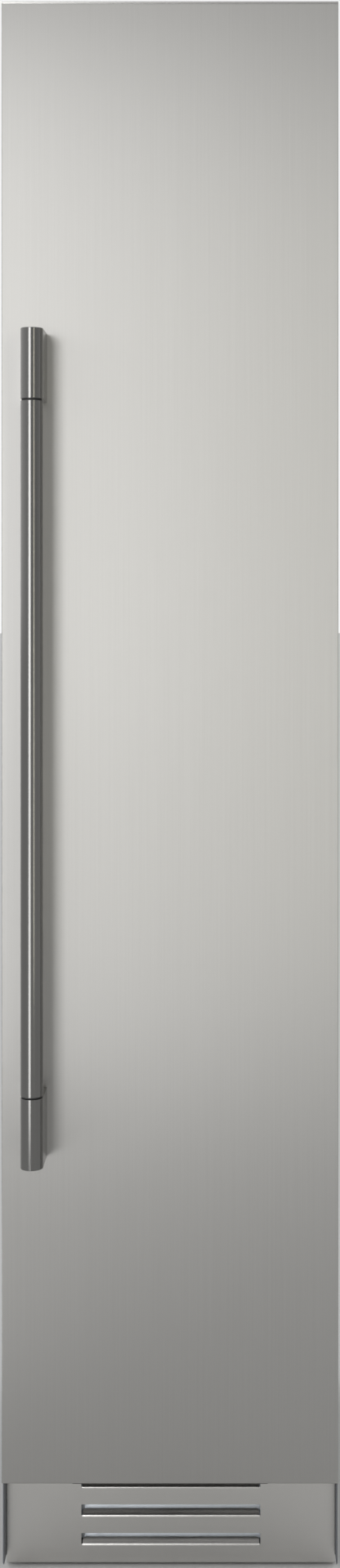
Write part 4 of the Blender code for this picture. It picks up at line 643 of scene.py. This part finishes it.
softShapes = {
    "door_body": ("doorBody", "door", "white_plastic", "whitePlastic", 0.0010),
    "door_liner": ("doorLiner", "door", "white_plastic", "whitePlastic", 0.0018),
    "door_gasket": ("doorGasket", "door", "gasket_rubber", "rubber", 0.0012),
    "door_bin_lower": ("doorBinLower", "door", "clear_plastic", "clearPlastic", 0.0007),
    "door_bin_middle": ("doorBinMiddle", "door", "clear_plastic", "clearPlastic", 0.0007),
    "door_bin_upper": ("doorBinUpper", "door", "clear_plastic", "clearPlastic", 0.0007),
    "lower_drawer": ("drawerLower", "lower_drawer", "clear_plastic", "clearPlastic", 0.0007),
    "middle_drawer": ("drawerMiddle", "middle_drawer", "clear_plastic", "clearPlastic", 0.0007),
    "upper_drawer": ("drawerUpper", "upper_drawer", "clear_plastic", "clearPlastic", 0.0007),
    "evaporator_cover": ("evaporatorCover", "cabinet", "white_plastic", "whitePlastic", 0.0006),
    "inner_liner": ("innerLiner", "cabinet", "white_plastic", "whitePlastic", 0.0006),
    "control_panel": ("controlPanel", "cabinet", "white_plastic", "greyPlastic", 0.0008),
    "display_lens": ("displayLens", "cabinet", "black_plastic", "lens", 0.0004),
    "light_bar_left": ("lightBarLeft", "cabinet", "lamp", "lamp", 0.0004),
    "light_bar_right": ("lightBarRight", "cabinet", "lamp", "lamp", 0.0004),
    "upper_hinge_bracket": ("hingeUpper", "cabinet", "galvanised", "zinc", 0.0006),
    "lower_hinge_bracket": ("hingeLower", "cabinet", "galvanised", "zinc", 0.0006),
    "case_left_side": ("caseLeft", "cabinet", "painted_case", "casePaint", 0.0004),
    "case_right_side": ("caseRight", "cabinet", "painted_case", "casePaint", 0.0004),
    "case_top": ("caseTop", "cabinet", "painted_case", "casePaint", 0.0004),
    "base_pan": ("basePan", "cabinet", "galvanised", "basePaint", 0.0004),
    "electronics_box": ("electronicsBox", "cabinet", "grey_plastic", "greyPlastic", 0.0008),
    "drain_pan": ("drainPan", "cabinet", "black_plastic", "blackPlastic", 0.0005),
    "power_inlet": ("powerInlet", "cabinet", "black_plastic", "blackPlastic", 0.0004),
    "condenser_fan_motor": ("condenserMotor", "cabinet", "black_steel", "blackPaint", 0.0006),
    "condenser_fan_shroud": ("fanRing", "cabinet", "black_plastic", "blackPlastic", 0.0004),
    "condenser_fan": ("condenserFan", "condenser_fan", "grey_plastic", "whitePlastic", 0.0003),
    "evaporator_fan": ("evaporatorFan", "evaporator_fan", "grey_plastic", "greyPlastic", 0.0003),
    "evaporator_fan_motor": ("evaporatorMotor", "cabinet", "black_steel", "blackPlastic", 0.0005),
    "filter_drier": ("filterDrier", "cabinet", "copper", "copper", 0.0008),
    "left_leg": ("legLeft", "left_leg", "grey_plastic", "blackPlastic", 0.0006),
    "right_leg": ("legRight", "right_leg", "grey_plastic", "blackPlastic", 0.0006),
    "left_roller": ("rollerLeft", "left_roller", "black_plastic", "blackPlastic", 0.0006),
    "right_roller": ("rollerRight", "right_roller", "black_plastic", "blackPlastic", 0.0006),
    "left_roller_bracket": ("rollerForkLeft", "cabinet", "galvanised", "zinc", 0.0003),
    "right_roller_bracket": ("rollerForkRight", "cabinet", "galvanised", "zinc", 0.0003),
}


def makeSoftShapes():
    for node, (name, body, slot, finish, width) in softShapes.items():
        fitted(softCopy(node, name, width), body, slot, finish, node)


# Shelves: a glass pane with ground edges in a front and a rear trim, on ledges along the walls

shelves = {"count": 4, "pane": 0.005, "paneEdge": 0.0012, "tuck": 0.006, "trim": 0.014, "lip": 0.0008,
           "trimEdge": 0.0016, "wall": 0.1778, "ledge": 0.0092, "drawerLedge": 0.00828,
           "ledgeHeight": 0.0050, "ledgeEdge": 0.0012, "gap": 0.0006, "rimHeight": 0.006}


def makeShelves():
    trims = []
    ledges = []
    for index in range(1, shelves["count"] + 1):
        node = "glass_shelf_%d" % index
        low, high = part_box(node)
        pane = addBlock("shelfPane%d" % index, (low.x, low.y + shelves["tuck"], high.z - shelves["pane"]),
                        (high.x, high.y - shelves["tuck"], high.z))
        softened(pane, shelves["paneEdge"])
        fitted(pane, "cabinet", "shelf_glass", "shelfGlass", node)
        for start in (low.y, high.y - shelves["trim"]):
            trim = addBlock("trim", (low.x, start, low.z),
                            (high.x, start + shelves["trim"], high.z + shelves["lip"]))
            trims.append(softened(trim, shelves["trimEdge"], segments=4))
        ledges.append((low.y + shelves["trim"], high.y - shelves["trim"],
                       high.z - shelves["pane"] - shelves["gap"], shelves["ledge"]))
    for node in ("lower_drawer", "middle_drawer", "upper_drawer"):
        low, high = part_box(node)
        ledges.append((low.y + shelves["trim"], high.y, high.z - shelves["rimHeight"] - shelves["gap"],
                       shelves["drawerLedge"]))
    fitted(joined("shelfTrims", trims), "cabinet", "grey_plastic", "greyPlastic")
    rails = []
    for front, back, top, width in ledges:
        for side in (-1, 1):
            left, right = sorted((side * (shelves["wall"] - width), side * shelves["wall"]))
            rail = addBlock("rail", (left, front, top - shelves["ledgeHeight"]), (right, back, top))
            rails.append(softened(rail, shelves["ledgeEdge"]))
    fitted(joined("wallLedges", rails), "cabinet", "white_plastic", "whitePlastic")


# Inside: ribs and screws of the evaporator cover, rails of the bins, keys behind the lens

inside = {"ribHalf": 0.002, "ribProud": 0.0012, "ribEdge": 0.00096, "ribLength": 0.19,
          "ribRows": (1.015, 1.290, 1.575, 1.900), "ribColumns": (-0.130, -0.100, 0.100, 0.130),
          "capRadius": 0.0045, "capColumn": 0.155, "capRows": (0.440, 0.930, 1.290, 1.575, 2.040),
          "railHalf": 0.117, "railRadius": 0.0028, "railBack": 0.00112, "railDrop": 0.00448,
          "railEdge": 0.0014, "railAngle": 60.0, "railSides": 24,
          "keys": (-0.042, -0.026, 0.026, 0.042), "keyRadius": 0.0032, "keyLine": 0.0005,
          "keyProud": 0.0002, "keySides": 32}


def makeInside():
    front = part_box("evaporator_cover")[0].y
    rib = addBlock("rib", (-inside["ribHalf"], -inside["ribProud"], -inside["ribLength"] / 2),
                   (inside["ribHalf"], inside["ribHalf"], inside["ribLength"] / 2))
    softened(rib, inside["ribEdge"])
    places = [(x, front, z) for x in inside["ribColumns"] for z in inside["ribRows"]]
    fitted(polished(spread(rib, "coverRibs", places)), "cabinet", "white_plastic", "whitePlastic")
    places = [(side * inside["capColumn"], front, z) for side in (-1, 1) for z in inside["capRows"]]
    caps = screwHeads("coverScrews", inside["capRadius"], (0, -1, 0), places)
    fitted(caps, "cabinet", "galvanised", "zinc")

    rails = []
    for node in ("door_bin_lower", "door_bin_middle", "door_bin_upper"):
        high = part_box(node)[1]
        place = (0, high.y - inside["railBack"], high.z - inside["railDrop"])
        rail = addRod("rail", place, inside["railRadius"], inside["railHalf"] * 2, "X", inside["railSides"])
        rails.append(softened(rail, inside["railEdge"], angle=inside["railAngle"]))
    fitted(joined("binRails", rails), "door", "aluminium", "aluminium")

    low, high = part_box("display_lens")
    key = addRod("key", (0, 0, 0), inside["keyRadius"], inside["keyProud"], "Y", inside["keySides"])
    openEdit(key)
    choose(key, "FACE", lambda middle, normal: abs(normal.y) > mostly)
    bpy.ops.mesh.inset(thickness=inside["keyLine"], use_individual=True)
    bpy.ops.mesh.bridge_edge_loops()
    closeEdit()
    keys = spread(key, "lensKeys", [(x, low.y, (low.z + high.z) / 2) for x in inside["keys"]])
    fitted(polished(keys), "cabinet", "lamp", "lamp")


# Rear: panel with pressed fields, a hood over each slot of the rear cover, screws, pins of the inlet

rear = {"fields": (0.90, 1.32, 1.74), "margin": 0.034, "slope": 0.005, "proud": 0.0014,
        "smoothAngle": 25.0, "screwRadius": 0.0042, "screwEdge": 0.0085, "screwEnd": 0.014,
        "screwRows": 9, "screwColumns": (-0.1, 0.0, 0.1), "coverRows": (0.030, 0.180, 0.340),
        "slotRows": 9, "firstRow": 0.1173, "rowPitch": 0.02255, "slotHeight": 0.006,
        "hoodHalf": 0.057, "hoodColumn": 0.1051, "hoodHeight": 0.0040, "hoodProud": 0.0022,
        "hoodSink": 0.0004, "hoodSlope": 0.00198, "hoodEdge": 0.0004,
        "pinHalf": 0.0011, "pinHeight": 0.0050, "pinLength": 0.010, "pinSink": 0.002, "pinEdge": 0.00055,
        "pins": ((-0.0075, -0.002), (0.0, 0.004), (0.0075, -0.002))}


def makeRearPanel():
    low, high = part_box("case_back")
    panel = addBlock("rearPanel", low, high)
    openEdit(panel)
    for height in rear["fields"]:
        cutAcross((0, 0, height), (0, 0, 1))
    choose(panel, "FACE", lambda middle, normal: normal.y > mostly)
    bpy.ops.mesh.inset(thickness=rear["margin"], use_individual=True)
    bpy.ops.mesh.inset(thickness=rear["slope"], depth=rear["proud"], use_individual=True)
    closeEdit()
    fitted(polished(panel, rear["smoothAngle"]), "cabinet", "galvanised", "zinc", "case_back")

    edge = high.x - rear["screwEdge"]
    first, last = low.z + rear["screwEnd"], high.z - rear["screwEnd"]
    rows = [first + (last - first) * index / (rear["screwRows"] - 1) for index in range(rear["screwRows"])]
    places = [(side * edge, high.y, z) for side in (-1, 1) for z in rows]
    places += [(x, high.y, z) for x in rear["screwColumns"] for z in (first, last)]
    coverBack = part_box("machine_cover")[1].y
    places += [(side * edge, coverBack, z) for side in (-1, 1) for z in rear["coverRows"]]
    heads = screwHeads("rearScrews", rear["screwRadius"], (0, 1, 0), places)
    fitted(heads, "cabinet", "galvanised", "zinc")


def makeHoods():
    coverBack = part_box("machine_cover")[1].y
    hood = addBlock("hood", (-rear["hoodHalf"], -rear["hoodSink"], 0),
                    (rear["hoodHalf"], rear["hoodProud"], rear["hoodHeight"]))
    openEdit(hood)
    choose(hood, "EDGE", lambda middle, way: middle.y > rear["hoodProud"] - near
           and middle.z > rear["hoodHeight"] - near)
    bpy.ops.transform.translate(value=(0, -rear["hoodSlope"], 0))
    closeEdit()
    softened(hood, rear["hoodEdge"], segments=2)
    firstTop = rear["firstRow"] + rear["slotHeight"]
    rows = [firstTop + rear["rowPitch"] * index for index in range(rear["slotRows"])]
    places = [(side * rear["hoodColumn"], coverBack, z) for side in (-1, 1) for z in rows]
    fitted(polished(spread(hood, "coverHoods", places)), "cabinet", "galvanised", "zinc")


def makeInletPins():
    low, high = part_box("power_inlet")
    half, rise = rear["pinHalf"], rear["pinHeight"] / 2
    pin = addBlock("pin", (-half, -rear["pinLength"] - rear["pinSink"], -rise),
                   (half, -rear["pinSink"], rise))
    softened(pin, rear["pinEdge"])
    places = [(x, high.y, (low.z + high.z) / 2 + shift) for x, shift in rear["pins"]]
    fitted(polished(spread(pin, "inletPins", places)), "cabinet", "galvanised", "zinc")


# Base: a folded flange at each rear corner closes the slot beside the rear cover

flange = {"sheet": 0.0007, "lap": 0.0010, "inward": 0.0016, "behindCover": 0.0001, "fold": 0.010,
          "foldSheet": 0.0010, "foot": 0.0020, "edge": 0.0002}


def makeFlanges():
    low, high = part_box("base_pan")
    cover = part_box("machine_cover")
    inner = cover[1].x - flange["lap"]
    outer = high.x - flange["inward"]
    back = cover[0].y - flange["behindCover"]
    bend = outer - flange["foldSheet"]
    plate = addBlock("plate", (inner, back - flange["sheet"], low.z + flange["foot"]),
                     (outer, back, high.z - flange["behindCover"]))
    openEdit(plate)
    cutAcross((bend, 0, 0), (1, 0, 0))
    choose(plate, "FACE", lambda middle, normal: normal.y < -mostly and middle.x > bend)
    extrude("FACE", (0, -flange["fold"], 0))
    closeEdit()
    softened(plate, flange["edge"], segments=2)
    twin = ownCopy(plate, "twin")
    twin.scale = (-1, 1, 1)
    openEdit(settle(twin))
    outwards()
    closeEdit()
    fitted(polished(joined("baseFlanges", [plate, twin])), "cabinet", "galvanised", "basePaint")


# Compressor: its pot with a seam belt, base plate, stub, terminal box and feet

compressor = {
    "potRadius": 0.074, "potLow": 0.0278, "potHigh": 0.1778, "crown": 0.030, "crownAngle": 60.0,
    "potSides": 64, "smallSides": 32,
    "belt": 0.003, "beltHeight": 0.110, "beltEdge": 0.0009,
    "plate": 0.003, "plateDrop": 0.0006, "plateEdge": 0.001,
    "boxHalf": 0.020, "boxFront": 0.008, "boxBack": 0.010, "boxLow": 0.070, "boxHigh": 0.122,
    "boxEdge": 0.003,
    "stubRadius": 0.005, "stubLength": 0.044, "stubEdge": 0.001,
    "footRadius": 0.0084, "footLow": 0.0159, "footHeight": 0.0158, "footInset": 0.012, "footEdge": 0.0018,
}


def potMiddle():
    low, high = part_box("compressor")
    return high.x - compressor["belt"] - compressor["potRadius"], (low.y + high.y) / 2


def makeCompressor():
    x, y = potMiddle()
    radius, crown = compressor["potRadius"], compressor["crown"]
    potLow, potHigh = compressor["potLow"], compressor["potHigh"]
    pot = addRod("pot", (x, y, (potLow + potHigh) / 2), radius, potHigh - potLow,
                 sides=compressor["potSides"])
    softened(pot, crown, segments=8, angle=compressor["crownAngle"])
    belt = addRod("belt", (x, y, compressor["beltHeight"]), radius + compressor["belt"],
                  compressor["belt"] * 2, sides=compressor["potSides"])
    softened(belt, compressor["beltEdge"], segments=2)
    plate = addBlock("plate", (x - radius, y - radius / 2, potLow - compressor["plateDrop"]),
                     (x + radius, y + radius / 2, potLow + compressor["plate"]))
    softened(plate, compressor["plateEdge"], segments=2)
    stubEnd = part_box("compressor")[0].x
    stub = addRod("stub", (stubEnd + compressor["stubLength"] / 2, y, potHigh - crown),
                  compressor["stubRadius"], compressor["stubLength"], "X", compressor["smallSides"])
    softened(stub, compressor["stubEdge"], segments=2)
    fitted(joined("compressorPot", [pot, belt, plate, stub]), "cabinet", "black_steel", "blackPaint",
           "compressor")

    half, face = compressor["boxHalf"], y - radius
    box = addBlock("terminalBox", (x - half, face - compressor["boxFront"], compressor["boxLow"]),
                   (x + half, face + compressor["boxBack"], compressor["boxHigh"]))
    fitted(softened(box, compressor["boxEdge"]), "cabinet", "black_plastic", "blackPlastic")

    feet = []
    footRadius, footHeight = compressor["footRadius"], compressor["footHeight"]
    reachX, reachY = radius - compressor["footInset"], radius / 2 - compressor["footInset"]
    footMiddle = compressor["footLow"] + footHeight / 2
    for signX in (-1, 1):
        for signY in (-1, 1):
            foot = addRod("foot", (x + signX * reachX, y + signY * reachY, footMiddle), footRadius,
                          footHeight, sides=compressor["smallSides"])
            feet.append(softened(foot, compressor["footEdge"]))
    fitted(joined("compressorFeet", feet), "cabinet", "gasket_rubber", "rubber")


# Copper pipes: points are measured from the compressor's stub end, from its middle or from the zero point

pipes = {
    "suction": {"start": "stub", "radius": 0.00416, "points": (
        (0.004, 0.0, 0.1478), (-0.014, 0.0, 0.1478), (-0.018, 0.0, 0.168), (-0.018, 0.0, 0.280),
        (-0.018, -0.012, 0.300), (-0.018, -0.08175, 0.300))},
    "discharge": {"start": "pot", "radius": 0.0032, "points": (
        (-0.040, -0.040, 0.168), (-0.040, -0.040, 0.196), (-0.052, -0.040, 0.204),
        (-0.1798, -0.040, 0.204), (-0.1928, -0.040, 0.194), (-0.1928, -0.040, 0.126))},
    "liquid": {"start": "zero", "radius": 0.0032, "points": (
        (0.022, 0.1377, 0.0258), (0.004, 0.1377, 0.0258), (-0.050, 0.1377, 0.0300),
        (-0.064, 0.1400, 0.0300), (-0.070, 0.1450, 0.0300))},
    "capillary": {"start": "zero", "radius": 0.0020, "points": (
        (0.148, 0.1377, 0.0258), (0.163, 0.1377, 0.0258), (0.168, 0.1440, 0.0340), (0.168, 0.1500, 0.0600),
        (0.168, 0.1500, 0.280), (0.160, 0.1480, 0.300), (0.060, 0.1480, 0.300))},
}


def addPipe(name, start, radius, points):
    guide = bpy.data.curves.new(name, "CURVE")
    guide.dimensions = "3D"
    guide.bevel_depth = radius
    guide.bevel_resolution = 4
    guide.use_fill_caps = True
    line = guide.splines.new("NURBS")
    line.points.add(len(points) - 1)
    for point, place in zip(line.points, points):
        point.co = [a + b for a, b in zip(start, place)] + [1.0]
    line.use_endpoint_u = True
    line.order_u = 3
    line.resolution_u = 8
    pipe = bpy.data.objects.new(name, guide)
    bpy.context.scene.collection.objects.link(pipe)
    pickOnly(pipe)
    bpy.ops.object.convert(target="MESH")
    return polished(settle(bpy.context.object))


def makePipes():
    x, y = potMiddle()
    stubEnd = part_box("compressor")[0].x
    starts = {"stub": (stubEnd, y, 0.0), "pot": (x, y, 0.0), "zero": (0.0, 0.0, 0.0)}
    runs = []
    for name, pipe in pipes.items():
        runs.append(addPipe(name, starts[pipe["start"]], pipe["radius"], pipe["points"]))
    fitted(joined("copperPipes", runs), "cabinet", "copper", "copper")


# Screws of the case and of the hinge brackets

fixings = {"radius": 0.0032, "inset": 0.014, "hingeRadius": 0.0042, "hingeFace": -0.1912,
           "hingeColumns": (0.140, 0.158, 0.176), "hingeRows": (0.1480, 2.1125)}


def makeScrews():
    inset = fixings["inset"]
    low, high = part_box("case_top")
    across = (low.x + inset, (low.x + high.x) / 2, high.x - inset)
    along = (low.y + inset, (low.y + high.y) / 2, high.y - inset)
    heads = [screwHeads("topScrews", fixings["radius"], (0, 0, 1),
                        [(x, y, high.z) for x in across for y in (along[0], along[-1])])]
    for side, node in ((-1, "case_left_side"), (1, "case_right_side")):
        low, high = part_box(node)
        edge = high.x if side > 0 else low.x
        places = [(edge, y, z) for y in along for z in (low.z + inset, high.z - inset)]
        heads.append(screwHeads("sideScrews", fixings["radius"], (side, 0, 0), places))
    fitted(joined("caseScrews", heads), "cabinet", "painted_case", "casePaint")
    places = [(x, fixings["hingeFace"], z) for x in fixings["hingeColumns"] for z in fixings["hingeRows"]]
    heads = screwHeads("hingeScrews", fixings["hingeRadius"], (0, -1, 0), places)
    fitted(heads, "cabinet", "galvanised", "zinc")


makeScreen()
makePaintedShadeUnderDoor()
makeSoftShapes()
print("soft shapes: %d" % len(softShapes))
makeShelves()
makeInside()
print("inside: shelves, ledges, ribs, rails and keys")
makeRearPanel()
makeHoods()
makeInletPins()
makeFlanges()
makeScrews()
makeCompressor()
makePipes()
print("rear, base and machinery")


# Studio: pale floor, camera, soft lamps and a quiet world

studio = {
    "floorRadius": 60.0, "floorDark": (0.80, 0.80, 0.795), "floorLight": (0.84, 0.84, 0.835),
    "lens": 40.76, "sensor": 36.0, "cameraPlace": (0.0849, -2.673, 1.331), "shift": (-0.04, -0.1203),
    "worldLevel": 0.67, "worldBehind": 0.25, "worldRight": -0.14, "worldUp": -0.10,
}
lamps = {
    "frontCard": {"place": (-0.765, -2.25, 1.90), "aim": (-0.5, 0.0, 1.90), "size": (0.70, 1.80),
                  "power": 14.9},
    "frontLow": {"place": (-0.765, -2.25, 0.51), "aim": (-0.5, 0.0, 0.51), "size": (0.70, 0.98),
                 "power": 6.5},
    "rightStrip": {"place": (1.13, -2.9, 1.4), "aim": (-0.18, -0.3, 1.3), "size": (0.22, 2.4),
                   "power": 6.0, "colour": (1.0, 0.97, 0.80)},
    "lowLeft": {"place": (-0.75, -0.62, 0.14), "aim": (0.0, -0.30, 0.28), "size": (0.25, 0.26),
                "power": 0.42},
    "highLeft": {"place": (-2.6, -2.2, 4.2), "aim": (0.0, -0.2, 1.0), "size": (1.6, 1.6),
                 "power": 10.0},
}

clearSelection()
bpy.ops.mesh.primitive_circle_add(vertices=96, radius=studio["floorRadius"], fill_type="NGON")
floor = rename(bpy.context.object, "floor")
floor.data.materials.append(sheetPaint("floorPaint", {
    "peel": 40.0, "dark": studio["floorDark"], "light": studio["floorLight"], "rough": 0.75,
    "depth": 0.0001}).material)

cameraData = bpy.data.cameras.new("camera")
cameraData.lens = studio["lens"]
cameraData.sensor_width = studio["sensor"]
cameraData.sensor_fit = "AUTO"
cameraData.shift_x, cameraData.shift_y = studio["shift"]
camera = bpy.data.objects.new("camera", cameraData)
camera.location = studio["cameraPlace"]
camera.rotation_euler = (math.radians(90), 0, 0)
bpy.context.scene.collection.objects.link(camera)
bpy.context.scene.camera = camera

lit = bpy.data.collections.new("lit")  # the lamps light the object, and the world lights the floor
for piece in bpy.context.scene.objects:
    if piece.type == "MESH" and piece != floor:
        lit.objects.link(piece)
for name, settings in lamps.items():
    lampData = bpy.data.lights.new(name, "AREA")
    lampData.shape = "RECTANGLE"
    lampData.size, lampData.size_y = settings["size"]
    lampData.energy = settings["power"]
    lampData.color = settings.get("colour", (1.0, 1.0, 1.0))
    lamp = bpy.data.objects.new(name, lampData)
    lamp.location = settings["place"]
    lamp.visible_camera = False
    lamp.light_linking.receiver_collection = lit
    lamp.rotation_euler = (Vector(settings["aim"]) - lamp.location).to_track_quat("-Z", "Y").to_euler()
    bpy.context.scene.collection.objects.link(lamp)

world = bpy.data.worlds.new("studio")
world.use_nodes = True
bpy.context.scene.world = world
sky = NodeBook(world.node_tree)
towards = sky.add("ShaderNodeTexCoord", output="Generated")
east, north, up = (sky.add("ShaderNodeSeparateXYZ", {}, {0: towards}, axis) for axis in range(3))
slope = north * studio["worldBehind"] + east * studio["worldRight"] + up * studio["worldUp"]
background = world.node_tree.nodes["Background"]
sky.feed(background.inputs["Strength"], (slope + studio["worldLevel"]).clip())
sky.feed(background.inputs["Color"], (1.0, 1.0, 1.0, 1.0))
bpy.context.scene.view_settings.view_transform = "Standard"
print("studio: %d lamps" % len(lamps))
